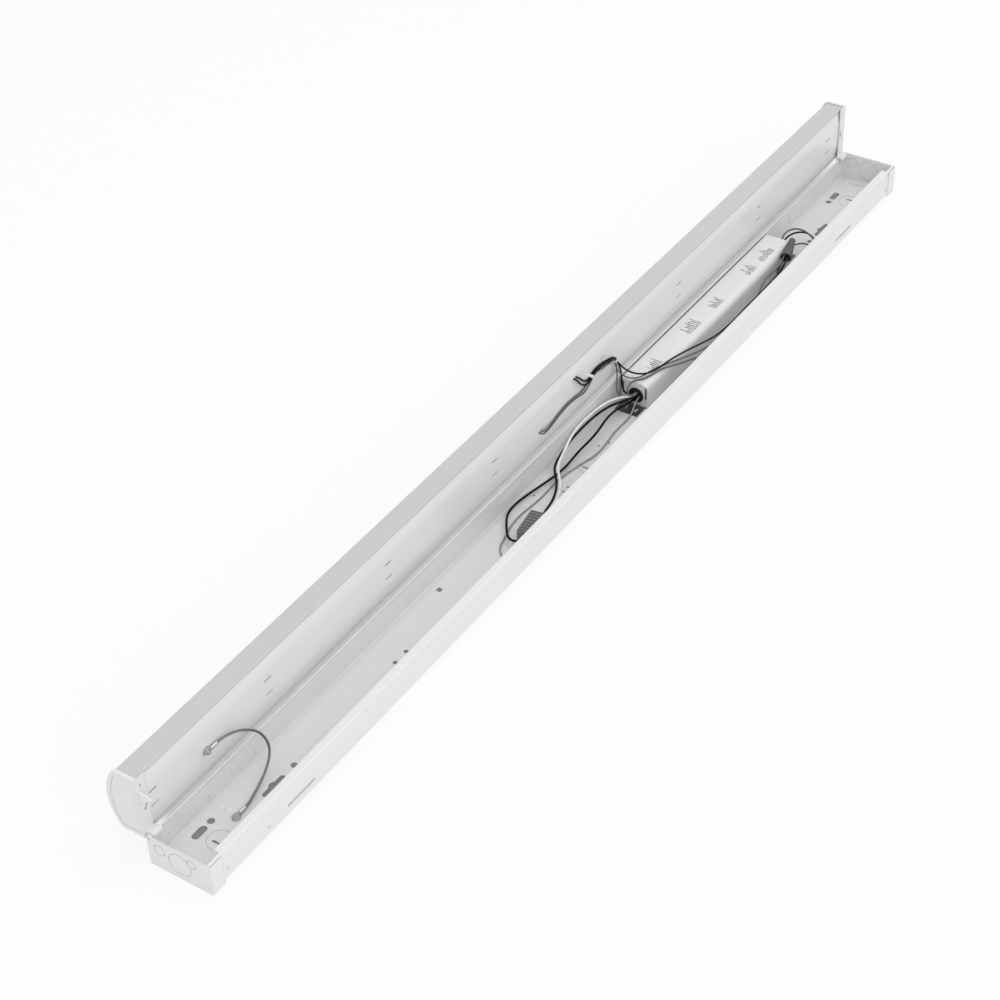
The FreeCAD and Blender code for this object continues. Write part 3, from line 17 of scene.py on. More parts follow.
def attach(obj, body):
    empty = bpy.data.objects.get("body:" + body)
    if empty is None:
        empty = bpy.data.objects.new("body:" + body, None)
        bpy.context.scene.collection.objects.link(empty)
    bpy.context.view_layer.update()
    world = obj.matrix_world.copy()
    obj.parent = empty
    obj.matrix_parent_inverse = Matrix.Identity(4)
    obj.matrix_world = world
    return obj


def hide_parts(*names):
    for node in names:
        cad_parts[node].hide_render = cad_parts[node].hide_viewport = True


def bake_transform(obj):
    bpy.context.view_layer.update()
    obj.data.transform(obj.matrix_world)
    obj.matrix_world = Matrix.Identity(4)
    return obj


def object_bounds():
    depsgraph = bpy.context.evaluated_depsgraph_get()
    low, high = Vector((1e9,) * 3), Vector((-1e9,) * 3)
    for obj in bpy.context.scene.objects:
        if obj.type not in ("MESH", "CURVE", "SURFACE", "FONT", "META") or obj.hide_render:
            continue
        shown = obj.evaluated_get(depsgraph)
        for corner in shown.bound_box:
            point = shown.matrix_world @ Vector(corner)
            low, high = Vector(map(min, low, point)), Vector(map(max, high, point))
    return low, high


bpy.context.scene.view_settings.view_transform = "Standard"
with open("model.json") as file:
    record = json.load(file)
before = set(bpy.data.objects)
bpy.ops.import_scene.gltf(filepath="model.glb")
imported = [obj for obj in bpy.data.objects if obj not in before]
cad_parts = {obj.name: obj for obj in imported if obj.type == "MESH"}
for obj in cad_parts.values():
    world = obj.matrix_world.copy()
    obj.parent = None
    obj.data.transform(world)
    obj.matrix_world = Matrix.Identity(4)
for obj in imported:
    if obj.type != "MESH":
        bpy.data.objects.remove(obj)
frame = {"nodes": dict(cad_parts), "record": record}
nodes = frame["nodes"]
cad_low, cad_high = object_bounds()
print("size in mm:", [round(1000 * side, 1) for side in cad_high - cad_low])

# %% [markdown]
# ## Camera
# The picture was taken from the near left, well above the light, with a long lens. The view is set
# as an azimuth, an elevation and a small roll about a point near the middle of the light, because
# these are the numbers a photographer would give.

# %% Camera
VIEW_AZIMUTH = -55.16            # degrees; 0 looks along +Y
VIEW_ELEVATION = 39.09
VIEW_ROLL = -2.41
VIEW_POINT = Vector((-0.1171, 0.0243, 0.0300))
VIEW_DISTANCE = 2.0
FOCAL_LENGTH = 77.75             # millimetres
SENSOR_WIDTH = 36


def view_axes(azimuth, elevation, roll):
    """Right, up and back of a camera; roll turns right and up about back."""
    a, e, r = radians(azimuth), radians(elevation), radians(roll)
    back = Vector((sin(a) * cos(e), -cos(a) * cos(e), sin(e)))
    level = Vector((cos(a), sin(a), 0))
    upright = back.cross(level)
    right = level * cos(r) + upright * sin(r)
    return right, back.cross(right), back


def make_camera():
    """Camera that looks at the view point from the view's angles and distance."""
    right, up, back = view_axes(VIEW_AZIMUTH, VIEW_ELEVATION, VIEW_ROLL)
    data = bpy.data.cameras.new("camera")
    data.lens = FOCAL_LENGTH
    data.sensor_width = SENSOR_WIDTH
    data.clip_start, data.clip_end = 0.05, 50
    camera = bpy.data.objects.new("camera", data)
    bpy.context.collection.objects.link(camera)
    turn = Matrix((right, up, back)).transposed().to_4x4()
    camera.matrix_world = Matrix.Translation(VIEW_POINT + back * VIEW_DISTANCE) @ turn
    bpy.context.scene.camera = camera
    print("camera at", [round(v, 3) for v in camera.matrix_world.translation])


make_camera()

# %% [markdown]
# ## Leads: where they start and end
# A lead is straight where something holds it: in a bushing of the driver, in a strap on the tray, in
# the mouth of the wire nut and where it goes into the surge module. Each of these is a place that
# several leads share, so each gets a small function that returns the points of one lead there.
# Everything in these cells is in millimetres, and is turned into metres when a curve is made.

# %% Places that the leads go through
# The driver: a bushing in each end, and how far past it a lead is held straight.
BUSHING_Y, BUSHING_Z = 10.7, 13.7
BUSHING_RING = 3.6               # how far the leads sit from the middle of a bushing
TERMINALS_NEAR, TERMINALS_FAR = 111.0, 412.0
BUSHING_RUN = 7.0

# The tray: its faces, its straps, and the holes where leads reach the LED boards behind it.
TRAY_FACE_Y, TRAY_BACK_Y = 35.3, 36.1
LEAD_Y = 34.25                   # a lead that lies on the tray, under a strap
LEAD_SPACING = 1.9
STRAP_RUN = 4.0
FIRST_STRAP = (104.5, 50.3, 120.0)      # x, z and the way the leads run, in degrees
SECOND_STRAP = (60.5, 57.0, 216.87)
BLACK_HOLES = (33.3, 71.6)
GRAY_HOLES = (-29.8, 48.0)
HOLE_SPACING = 3.8
HOLE_STAND_OFF = 3.4

# The surge module: a corner, its turn on the back of the channel, and its length.
MODULE_CORNER = (-96.5, 3.9)
MODULE_TURN = radians(8.66)
MODULE_LENGTH = 33.2

# The wire nut: both ends of its axis, and how deep and how far apart the leads sit in it.
NUT_MOUTH = np.array((386.5, -9.9, 27.0))
NUT_TIP = np.array((416.2, -2.5, 30.0))
NUT_BORE = 6.0
NUT_SPREAD = 1.9

# %% Leads at these places
def at_bushing(end, angle):
    """Two points of a lead through a bushing, at an angle round its middle, or in it for None."""
    spread = 0 if angle is None else BUSHING_RING
    turn = radians(angle or 0)
    y = BUSHING_Y + spread * cos(turn)
    z = BUSHING_Z + spread * sin(turn)
    if end == "near":
        return [(TERMINALS_NEAR, y, z), (TERMINALS_NEAR - BUSHING_RUN, y, z)]
    return [(TERMINALS_FAR, y, z), (TERMINALS_FAR + BUSHING_RUN, y, z)]


def through_strap(strap, row, layer):
    """Two points of a lead that runs straight through a strap, in its row and layer."""
    x, z, turn = strap[0], strap[1], radians(strap[2])
    side = row * LEAD_SPACING / 2
    y = LEAD_Y - layer * LEAD_SPACING
    return [(x + along * cos(turn) + side * sin(turn), y, z + along * sin(turn) - side * cos(turn))
            for along in (-STRAP_RUN, STRAP_RUN)]


def into_hole(pair, side):
    """Last points of a lead: it turns into its hole in the tray and ends on the connector."""
    x, z = pair[0] + side * HOLE_SPACING / 2, pair[1]
    return [(x, TRAY_FACE_Y - HOLE_STAND_OFF, z), (x, TRAY_BACK_Y, z)]


def module_end(s, t, z, away):
    """Last points of a lead that goes straight into an end of the surge module."""
    def place(along):
        x = MODULE_CORNER[0] + along * cos(MODULE_TURN) + t * sin(MODULE_TURN)
        y = MODULE_CORNER[1] + along * sin(MODULE_TURN) - t * cos(MODULE_TURN)
        return (x, y, z)
    return [place(s + away), place(s)]


def nut_axes():
    """The wire nut's own axes: from its mouth to its tip, sideways, and up."""
    way = (NUT_TIP - NUT_MOUTH) / np.linalg.norm(NUT_TIP - NUT_MOUTH)
    side = np.cross((0, 0, 1), way)
    side /= np.linalg.norm(side)
    return way, side, np.cross(way, side)


def in_nut(along, side_steps, up_steps):
    """A point of a lead at the wire nut, in lead steps sideways and up from its axis."""
    way, side, up = nut_axes()
    return tuple(NUT_MOUTH + way * along + (side * side_steps + up * up_steps) * NUT_SPREAD)


# %% [markdown]
# ## Leads: their routes
# Each lead keeps its real length and lies as it was pushed: the supply pair swings to the hinge side
# and crosses itself, one thin gray lead lies on the back of the channel, and four leads climb to the
# tray. The points are listed one by one along each lead. They are the control points of a smooth NURBS
# curve, which cuts inside every corner just as a stiff wire does.

# %% Routes in the channel
CHANNEL_LEADS = {
    "supply_lead_black": (2.4, at_bushing("near", 150) + [
        (94.0, 13.4, 15.0), (80.0, 19.6, 16.6), (63.0, 23.4, 17.9), (45.0, 24.8, 18.3),
        (27.0, 25.4, 18.0), (10.0, 25.3, 16.8), (-5.5, 24.7, 14.5), (-18.5, 23.3, 12.7),
        (-29.2, 20.4, 11.9), (-37.0, 15.2, 11.0), (-43.6, 9.4, 10.1), (-51.0, 4.2, 9.5),
        (-59.8, 0.2, 9.1), (-70.0, -3.6, 9.1)] + module_end(0, 11.5, 9.0, 12)),
    "supply_lead_white": (2.4, at_bushing("near", None) + [
        (94.0, 17.4, 17.2), (80.0, 23.0, 20.2), (62.0, 26.2, 21.5), (44.0, 27.2, 21.8),
        (27.0, 27.3, 21.8), (11.0, 25.8, 20.8), (-3.5, 22.8, 18.2), (-16.0, 20.4, 15.4),
        (-26.6, 17.6, 13.8), (-35.0, 12.6, 12.6), (-42.0, 6.6, 11.4), (-50.0, 0.6, 10.4),
        (-60.0, -3.8, 9.7), (-70.5, -7.2, 9.3)] + module_end(0, 15.2, 9.0, 12)),
    "control_lead_black": (2.4, at_bushing("near", -90) + [
        (92.0, 12.9, 11.2), (76.0, 16.1, 12.8), (60.5, 16.7, 12.2), (48.0, 15.3, 10.9),
        (36.7, 14.4, 9.9), (24.0, 14.5, 9.0), (11.0, 15.5, 7.9), (-2.0, 15.6, 6.8),
        (-15.0, 14.9, 5.9), (-28.5, 15.7, 5.3), (-40.5, 17.8, 5.0), (-54.0, 20.4, 5.1),
        (-70.0, 23.6, 4.9), (-85.0, 25.8, 5.0), (-97.0, 25.7, 5.4), (-106.5, 23.6, 6.0),
        (-113.5, 20.2, 6.6), (-121.2, 15.4, 7.2), (-129.6, 9.6, 7.7), (-137.6, 2.6, 8.0),
        (-138.7, -4.4, 8.1)] + module_end(-MODULE_LENGTH, 8.0, 8.0, -6)),
    "return_lead_gray": (1.8, at_bushing("near", -150) + [
        (97.5, 6.8, 7.4), (90.0, 5.7, 3.2), (80.0, 5.1, 1.95), (67.0, 5.9, 1.9),
        (53.0, 5.2, 1.9), (39.0, 3.3, 1.9), (26.0, 2.2, 1.9), (14.0, 2.9, 1.9),
        (3.0, 5.7, 1.9), (-8.5, 8.6, 1.9), (-21.0, 10.9, 1.9), (-33.5, 12.6, 1.9),
        (-46.0, 13.2, 1.9), (-59.0, 12.6, 1.9), (-72.0, 12.8, 1.9), (-83.0, 14.1, 1.9),
        (-94.0, 15.2, 1.9), (-105.0, 15.3, 1.9), (-115.5, 14.2, 1.9), (-125.5, 11.8, 1.9),
        (-135.0, 9.4, 1.9), (-143.5, 7.4, 1.9), (-150.2, 4.0, 1.9), (-155.6, -1.5, 1.9),
        (-158.4, -9.0, 1.9), (-156.0, -16.8, 1.9), (-148.8, -21.8, 2.6)]
        + module_end(-MODULE_LENGTH, 20.0, 4.0, -11)),
    "output_lead_upper": (2.0, at_bushing("far", 45) + [
        (427.0, 15.4, 19.6), (436.6, 17.0, 21.8), (446.0, 14.8, 22.3), (451.6, 8.2, 22.3),
        (451.2, -0.6, 22.0), (447.8, -8.6, 21.2), (443.0, -15.6, 20.0), (435.5, -21.8, 18.4),
        (425.0, -25.4, 16.8), (411.5, -26.6, 15.6), (397.5, -26.2, 15.2), (384.0, -26.9, 16.2),
        (372.5, -26.6, 17.0), (363.6, -25.8, 18.2), (359.6, -22.2, 19.8), (359.4, -16.9, 21.6),
        (363.2, -13.2, 23.4), (371.6, -12.8, 24.6)]
        + [in_nut(-5, -1, -1), in_nut(NUT_BORE, -1, -1)]),
    "output_lead_lower": (2.0, at_bushing("far", -45) + [
        (428.0, 14.9, 14.6), (438.0, 14.3, 17.6), (447.4, 11.0, 18.2), (453.4, 4.8, 18.3),
        (454.8, -2.6, 18.0), (451.8, -10.0, 16.9), (446.0, -17.0, 15.0), (437.0, -22.8, 12.6),
        (425.5, -26.2, 10.8), (412.0, -27.2, 9.9), (398.0, -26.7, 9.6), (384.0, -27.0, 10.0),
        (371.0, -25.4, 12.0), (362.0, -20.6, 15.4), (361.6, -13.8, 19.6), (369.0, -9.8, 23.2)]
        + [in_nut(-5, 1, -1), in_nut(NUT_BORE, 1, -1)]),
    "jumper_lead_gray": (1.8, at_bushing("far", -160) + [
        (428.0, 5.2, 12.8), (436.2, 1.8, 13.2), (441.8, -4.2, 13.0), (442.6, -11.6, 12.0),
        (438.4, -18.0, 10.2), (430.0, -23.0, 7.8), (418.0, -25.8, 5.8), (403.0, -26.4, 5.0),
        (383.0, -25.5, 4.8), (359.0, -24.8, 4.9), (333.0, -25.4, 4.7), (307.0, -24.9, 5.2),
        (281.0, -25.3, 5.0), (257.0, -24.8, 6.2), (236.0, -24.4, 9.2), (218.0, -23.4, 13.4),
        (203.0, -21.8, 18.0), (190.0, -19.0, 21.6), (178.0, -15.4, 24.4), (166.0, -11.0, 26.0),
        (154.0, -5.8, 27.4), (143.0, -0.8, 29.0), (132.0, 2.3, 29.7), (121.0, 4.9, 29.6),
        (113.8, 8.2, 29.8), (108.8, 12.8, 30.2), (103.4, 15.2, 28.6), (98.4, 15.6, 25.4),
        (96.4, 13.8, 20.8), (98.8, 11.6, 17.7)] + at_bushing("near", 90)[::-1]),
}

# %% Routes of the leads that cross the hinge
HINGE_LEADS = {
    "sense_lead_gray": (1.6, at_bushing("near", -30) + [
        (98.2, 16.8, 12.6), (94.4, 21.2, 15.6), (94.0, 24.4, 20.4), (96.2, 26.4, 26.4),
        (99.6, 27.8, 32.6), (103.8, 30.8, 39.4)]
        + through_strap(FIRST_STRAP, -1, 1)
        + [(88.5, 32.6, 54.0), (76.0, 32.9, 56.4)]
        + through_strap(SECOND_STRAP, -1, 1)
        + [(52.5, 32.8, 48.9), (45.0, 33.2, 46.4), (35.5, LEAD_Y, 47.6),
           (25.0, LEAD_Y, 48.9), (14.0, LEAD_Y, 48.8), (3.0, LEAD_Y, 47.1),
           (-8.0, LEAD_Y, 44.6), (-18.5, 33.4, 43.7), (-27.0, 32.4, 45.2)]
        + into_hole(GRAY_HOLES, -1)),
    "sense_lead_black": (1.8, at_bushing("near", 30) + [
        (100.8, 18.0, 16.6), (102.2, 23.0, 19.8), (104.8, 25.6, 26.0), (106.8, 27.0, 33.0),
        (108.6, 30.0, 40.0)]
        + through_strap(FIRST_STRAP, 1, 1)
        + [(88.5, 32.4, 57.2), (76.5, 32.6, 59.6)]
        + through_strap(SECOND_STRAP, 1, 1)
        + [(49.5, 32.4, 54.4), (43.4, 32.2, 57.8), (37.8, 32.0, 62.8), (34.2, 31.9, 67.4)]
        + into_hole(BLACK_HOLES, -1)),
    "led_lead_gray": (1.6, [in_nut(NUT_BORE, 1, 1), in_nut(-6, 1, 1)] + [
        (370.5, -11.6, 27.2), (360.0, -11.2, 26.2), (347.5, -9.9, 25.5), (334.0, -10.6, 24.9),
        (320.5, -14.2, 23.8), (307.0, -17.2, 22.6), (290.0, -19.4, 21.8), (270.0, -20.5, 21.5),
        (247.0, -20.6, 21.8), (226.0, -19.6, 22.6), (209.0, -17.9, 23.8), (196.0, -15.6, 24.9),
        (183.5, -12.0, 25.9), (170.5, -7.6, 27.2), (158.5, -3.2, 28.6), (148.0, 0.9, 29.4),
        (137.0, 5.6, 30.3), (126.0, 7.4, 31.1), (115.8, 8.9, 31.9), (108.4, 12.2, 33.0),
        (104.6, 17.8, 33.8), (104.2, 24.0, 35.0), (105.0, 29.8, 37.2), (106.3, 32.8, 40.8)]
        + through_strap(FIRST_STRAP, -1, 0)
        + [(87.5, LEAD_Y, 55.4), (75.5, LEAD_Y, 57.8)]
        + through_strap(SECOND_STRAP, -1, 0)
        + [(50.5, LEAD_Y, 51.2), (42.5, LEAD_Y, 49.2), (33.0, LEAD_Y, 50.7),
           (23.0, LEAD_Y, 51.8), (12.0, LEAD_Y, 51.6), (1.0, LEAD_Y, 49.8),
           (-9.5, LEAD_Y, 47.4), (-19.5, 33.2, 46.8)]
        + into_hole(GRAY_HOLES, 1)),
    "led_lead_black": (1.8, [in_nut(NUT_BORE, -1, 1), in_nut(-6, -1, 1)] + [
        (371.5, -16.0, 27.4), (361.0, -17.3, 26.4), (347.0, -17.7, 25.6), (330.0, -17.4, 25.3),
        (310.0, -17.6, 25.1), (288.0, -17.3, 25.3), (266.0, -17.6, 25.1), (244.0, -17.4, 25.4),
        (226.0, -16.8, 26.2), (210.0, -14.4, 27.8), (194.0, -10.6, 29.6), (177.0, -6.3, 31.0),
        (162.0, -2.5, 31.7), (149.0, 0.2, 31.8), (138.0, 1.6, 32.1), (128.8, 3.2, 32.6),
        (120.8, 6.0, 33.6), (115.2, 10.6, 34.6), (112.2, 16.8, 35.4), (111.2, 23.4, 36.8),
        (111.2, 29.4, 39.4), (110.6, 33.0, 42.8)]
        + through_strap(FIRST_STRAP, 1, 0)
        + [(88.0, LEAD_Y, 58.4), (76.0, LEAD_Y, 61.0)]
        + through_strap(SECOND_STRAP, 1, 0)
        + [(49.5, LEAD_Y, 58.0), (44.8, 33.6, 62.0), (40.0, 32.6, 66.8)]
        + into_hole(BLACK_HOLES, 1)),
}
# The tether cable, from its stud on the tray down to its stud on the back.
TETHER = [
    (-520.25, 33.4, 53.5), (-512.8, 33.4, 53.5), (-506.9, 31.4, 54.3), (-500.5, 29.8, 53.4),
    (-494.0, 28.0, 51.1), (-487.8, 26.0, 47.6), (-482.2, 24.1, 43.2), (-477.8, 22.2, 37.8),
    (-475.0, 20.2, 31.4), (-473.7, 18.2, 24.4), (-475.0, 16.2, 18.0), (-479.3, 14.2, 12.8),
    (-486.2, 12.0, 8.8), (-494.6, 9.8, 6.2), (-503.6, 7.6, 4.7), (-512.8, 5.6, 3.9),
    (-521.6, 4.0, 2.7), (-529.25, 4.0, 2.7),
]
print(len(CHANNEL_LEADS), "leads stay in the channel and", len(HINGE_LEADS), "cross the hinge")

# %% [markdown]
# ## Tubes along a curve
# The smooth line comes from Blender's own NURBS curve. A lead is then a surface of two parameters,
# the length along the line and the angle round it, on a frame that is carried along the line without
# twisting. Its UV map holds the length and the angle, so an insulation's streaks follow the wire.

# %% The smooth line of a route
CURVE_STEPS = 16                 # points that Blender works out for each control point


def smooth_line(points_mm, step):
    """Evenly spaced points, in metres, on the NURBS curve that the route's points control."""
    data = bpy.data.curves.new("route", "CURVE")
    data.dimensions = "3D"
    data.resolution_u = CURVE_STEPS
    spline = data.splines.new("NURBS")
    spline.points.add(len(points_mm) - 1)
    for point, place in zip(spline.points, points_mm):
        point.co = (*[value / 1000 for value in place], 1)
    # The order and the ends are set after the points, or the curve stays a row of straight runs.
    spline.order_u = 3
    spline.use_endpoint_u = True
    carrier = bpy.data.objects.new("route", data)
    bpy.context.collection.objects.link(carrier)
    mesh = bpy.data.meshes.new_from_object(carrier)
    line = np.empty(len(mesh.vertices) * 3)
    mesh.vertices.foreach_get("co", line)
    line = line.reshape(-1, 3)
    bpy.data.objects.remove(carrier)
    bpy.data.curves.remove(data)
    bpy.data.meshes.remove(mesh)
    along = np.concatenate(([0], np.cumsum(np.linalg.norm(np.diff(line, axis=0), axis=1))))
    even = np.linspace(0, along[-1], max(8, int(round(along[-1] / step))))
    return np.column_stack([np.interp(even, along, line[:, k]) for k in range(3)])


# %% Frames carried along a line
ANY_WAY = (0.1, 0.2, 1)          # a direction that no lead starts in


def carried_frames(line):
    """Tangent, side and up along a line; each frame is the last one turned as little as needed."""
    tangent = np.gradient(line, axis=0)
    tangent /= np.linalg.norm(tangent, axis=1)[:, None]
    side = np.empty_like(line)
    side[0] = np.cross(tangent[0], ANY_WAY)
    side[0] /= np.linalg.norm(side[0])
    for k in range(1, len(line)):
        flat = side[k - 1] - tangent[k] * side[k - 1].dot(tangent[k])
        side[k] = flat / np.linalg.norm(flat)
    return tangent, side, np.cross(tangent, side)


# %% Rings into a mesh, and the tube
LEAD_SIDES = 14


def ring_mesh(name, points, uv):
    """Quads between rings of points [ring, place on it, 3], with a flat cap on each end."""
    rings, sides = points.shape[:2]
    here = np.arange(rings * sides).reshape(rings, sides)
    after = np.roll(here, -1, axis=1)
    quads = np.stack([here[:-1], after[:-1], after[1:], here[1:]], axis=-1).reshape(-1, 4)
    caps = [here[0][::-1].tolist(), here[-1].tolist()]
    mesh = bpy.data.meshes.new(name)
    mesh.from_pydata(points.reshape(-1, 3), [], quads.tolist() + caps)
    mesh.polygons.foreach_set("use_smooth", [True] * len(quads) + [False] * len(caps))
    layer = mesh.uv_layers.new(name="UVMap")
    corners = np.empty(len(mesh.loops), int)
    mesh.loops.foreach_get("vertex_index", corners)
    layer.data.foreach_set("uv", uv.reshape(-1, 2)[corners].ravel())
    mesh.update()
    piece = bpy.data.objects.new(name, mesh)
    bpy.context.collection.objects.link(piece)
    return piece


def tube(name, line, radius, sides=LEAD_SIDES):
    """Round tube: line + radius * (side * cos + up * sin), with radius along and round it.

    radius is a number or a function of the length along and the angle round, both arrays."""
    _, side, up = carried_frames(line)
    steps = np.linalg.norm(np.diff(line, axis=0), axis=1)
    along = np.concatenate(([0], np.cumsum(steps)))[:, None]
    angle = np.linspace(0, 2 * pi, sides, endpoint=False)[None, :]
    reach = radius(along, angle) if callable(radius) else radius * np.ones((len(line), sides))
    spoke = side[:, None] * np.cos(angle)[..., None] + up[:, None] * np.sin(angle)[..., None]
    points = line[:, None] + spoke * reach[..., None]
    uv = np.stack(np.broadcast_arrays(along, angle / (2 * pi)), axis=-1)
    return ring_mesh(name, points, uv)


# %% [markdown]
# ## Studio
# White cloth on a table under a soft, even light. The sky is the main lamp, so that inner faces of
# the channel are darker only where the steel shades itself. Two large panels add the slight
# difference between the faces and the sheen on the paint. The white behind the object is only what
# the camera sees, and puts no extra light on the object.

# %% Sums in a node tree
def maths(tree, operation, *values, clamp=False):
    """Math node on numbers or sockets; gives its output."""
    node = tree.nodes.new("ShaderNodeMath")
    node.operation = operation
    node.use_clamp = clamp
    for socket, value in zip(node.inputs, values):
        if isinstance(value, (int, float)):
            socket.default_value = value
        else:
            tree.links.new(value, socket)
    return node.outputs[0]


def white_for_camera(tree):
    """Sum, at most 1, of what the camera sees directly, in gloss and through glass."""
    path = tree.nodes.new("ShaderNodeLightPath")
    total = path.outputs["Is Camera Ray"]
    for name in ("Is Glossy Ray", "Is Transmission Ray"):
        total = maths(tree, "ADD", total, path.outputs[name], clamp=True)
    return total


# %% World
SKY_STRENGTH = 0.80              # light on the object; the white behind it has strength 1


def make_world():
    """Even white sky for the light, and plain white for what the camera sees."""
    world = bpy.data.worlds.new("studio")
    bpy.context.scene.world = world
    world.use_nodes = True
    tree = world.node_tree
    tree.nodes.clear()
    sky = tree.nodes.new("ShaderNodeBackground")
    sky.inputs["Color"].default_value = (1, 1, 1, 1)
    sky.inputs["Strength"].default_value = SKY_STRENGTH
    backdrop = tree.nodes.new("ShaderNodeBackground")
    backdrop.inputs["Color"].default_value = (1, 1, 1, 1)
    backdrop.inputs["Strength"].default_value = 1
    mix = tree.nodes.new("ShaderNodeMixShader")
    out = tree.nodes.new("ShaderNodeOutputWorld")
    tree.links.new(white_for_camera(tree), mix.inputs[0])
    tree.links.new(sky.outputs[0], mix.inputs[1])
    tree.links.new(backdrop.outputs[0], mix.inputs[2])
    tree.links.new(mix.outputs[0], out.inputs[0])


make_world()
print("sky strength", SKY_STRENGTH)

# %% [markdown]
# ## The cloth under the light
# A white cloth that only catches light would render gray in places and end in a visible edge. So the
# camera sees most of it as plain white, and the rest as real cloth, which leaves a faint shadow. Plain
# white would also shine through the holes in the back and past the hinge, where a real cloth lies in
# the light's own shade. Two soft-edged rectangles take the white away there, and under the back
# the cloth's own colour is also made dark gray, a painted shade.

# %% Cloth
FLOOR_WHITE = 0.82               # share of the cloth that the camera sees as plain white
FLOOR_REACH = 30.0               # metres from the middle to an edge, past what any view shows
FLOOR_DROP = 0.0002              # the cloth lies this far under the light, so no faces coincide
CLOTH = (0.9, 0.9, 0.9, 1)
# painted shade: the cloth's colour under the back, dark gray as if in shade
CLOTH_PAINTED_SHADE = (0.28, 0.28, 0.28, 1)

# Where the cloth is in shade: x from, x to, y from, y to and the width of the soft edge, in metres.
UNDER_BACK = (-0.600, 0.600, -0.0275, 0.0275, 0.0005)    # seen through the holes in the back
UNDER_DOOR = (-0.578, 0.640, 0.026, 0.076, 0.018)        # seen by the hinge


def under_light(tree, x0, x1, y0, y1, edge):
    """1 on a rectangle of the floor, falling to 0 at its border: (half - |x - middle|) / edge."""
    split = tree.nodes.new("ShaderNodeSeparateXYZ")
    place = tree.nodes.new("ShaderNodeTexCoord")
    tree.links.new(place.outputs["Object"], split.inputs[0])
    inside = 1
    for axis, low, high in (("X", x0, x1), ("Y", y0, y1)):
        off_middle = maths(tree, "SUBTRACT", split.outputs[axis], (low + high) / 2)
        room = maths(tree, "SUBTRACT", (high - low) / 2, maths(tree, "ABSOLUTE", off_middle))
        share = maths(tree, "MAXIMUM", 0, maths(tree, "MINIMUM", 1,
                                                maths(tree, "DIVIDE", room, edge)))
        inside = maths(tree, "MULTIPLY", inside, share)
    return inside


def make_floor():
    """Large cloth just under the light: plain white for the camera, but not where it is in shade; under
    the back its colour is a painted shade.
    """
    corner = FLOOR_REACH * np.array([[-1, -1], [1, -1], [1, 1], [-1, 1]])
    points = np.column_stack([corner, np.full(4, cad_low.z - FLOOR_DROP)])
    mesh = bpy.data.meshes.new("floor")
    mesh.from_pydata(points, [], [(0, 1, 2, 3)])
    floor = bpy.data.objects.new("floor", mesh)
    bpy.context.collection.objects.link(floor)
    material = bpy.data.materials.new("floor")
    material.use_nodes = True
    tree = material.node_tree
    tree.nodes.clear()
    under_back = under_light(tree, *UNDER_BACK)
    shaded = maths(tree, "MAXIMUM", under_back, under_light(tree, *UNDER_DOOR))
    white = maths(tree, "MULTIPLY", white_for_camera(tree), FLOOR_WHITE)
    white = maths(tree, "MULTIPLY", white, maths(tree, "SUBTRACT", 1, shaded))
    # the cloth's colour, made dark gray under the back as a painted shade
    painted_shade_tone = tree.nodes.new("ShaderNodeMix")
    painted_shade_tone.data_type = "RGBA"
    painted_shade_tone.inputs[6].default_value = CLOTH
    painted_shade_tone.inputs[7].default_value = CLOTH_PAINTED_SHADE
    cloth = tree.nodes.new("ShaderNodeBsdfDiffuse")
    plain = tree.nodes.new("ShaderNodeEmission")
    mix = tree.nodes.new("ShaderNodeMixShader")
    out = tree.nodes.new("ShaderNodeOutputMaterial")
    tree.links.new(under_back, painted_shade_tone.inputs["Factor"])
    tree.links.new(painted_shade_tone.outputs[2], cloth.inputs["Color"])
    tree.links.new(white, mix.inputs[0])
    tree.links.new(cloth.outputs[0], mix.inputs[1])
    tree.links.new(plain.outputs[0], mix.inputs[2])
    tree.links.new(mix.outputs[0], out.inputs[0])
    mesh.materials.append(material)


make_floor()
print("cloth at z =", round(1000 * (cad_low.z - FLOOR_DROP), 2), "mm")

# %% Lamps
def soft_lamp(name, place, aim, size, power):
    """Square panel lamp at place, turned towards aim."""
    data = bpy.data.lights.new(name, "AREA")
    data.size = size
    data.energy = power
    lamp = bpy.data.objects.new(name, data)
    bpy.context.collection.objects.link(lamp)
    lamp.location = place
    lamp.rotation_mode = "QUATERNION"
    lamp.rotation_quaternion = (Vector(aim) - Vector(place)).to_track_quat("-Z", "Y")


soft_lamp("panel_front", place=(-1.6, -2.4, 1.9), aim=(0, 0, 0), size=1.8, power=16)
soft_lamp("panel_above", place=(0.4, -0.3, 2.6), aim=(0, 0, 0), size=2.4, power=14)
print(len(bpy.data.lights), "soft lamps")

# %% [markdown]
# ## Finishes
# Almost everything here is white paint or white plastic, and what tells them apart is how they
# scatter light: enamel has a faint orange peel and a soft gloss, moulded plastic has a fine grain,
# the frosted lens glows a little from inside. Each finish is a small node tree on Object coordinates,
# in metres, so its grain has its real size on every piece.

# %% Node tree helpers
NOISE_LOW, NOISE_HIGH = 0.3, 0.7     # nearly all of a noise lies between these
WAVE_FACTOR = 20                 # Blender's wave texture multiplies its coordinate by this


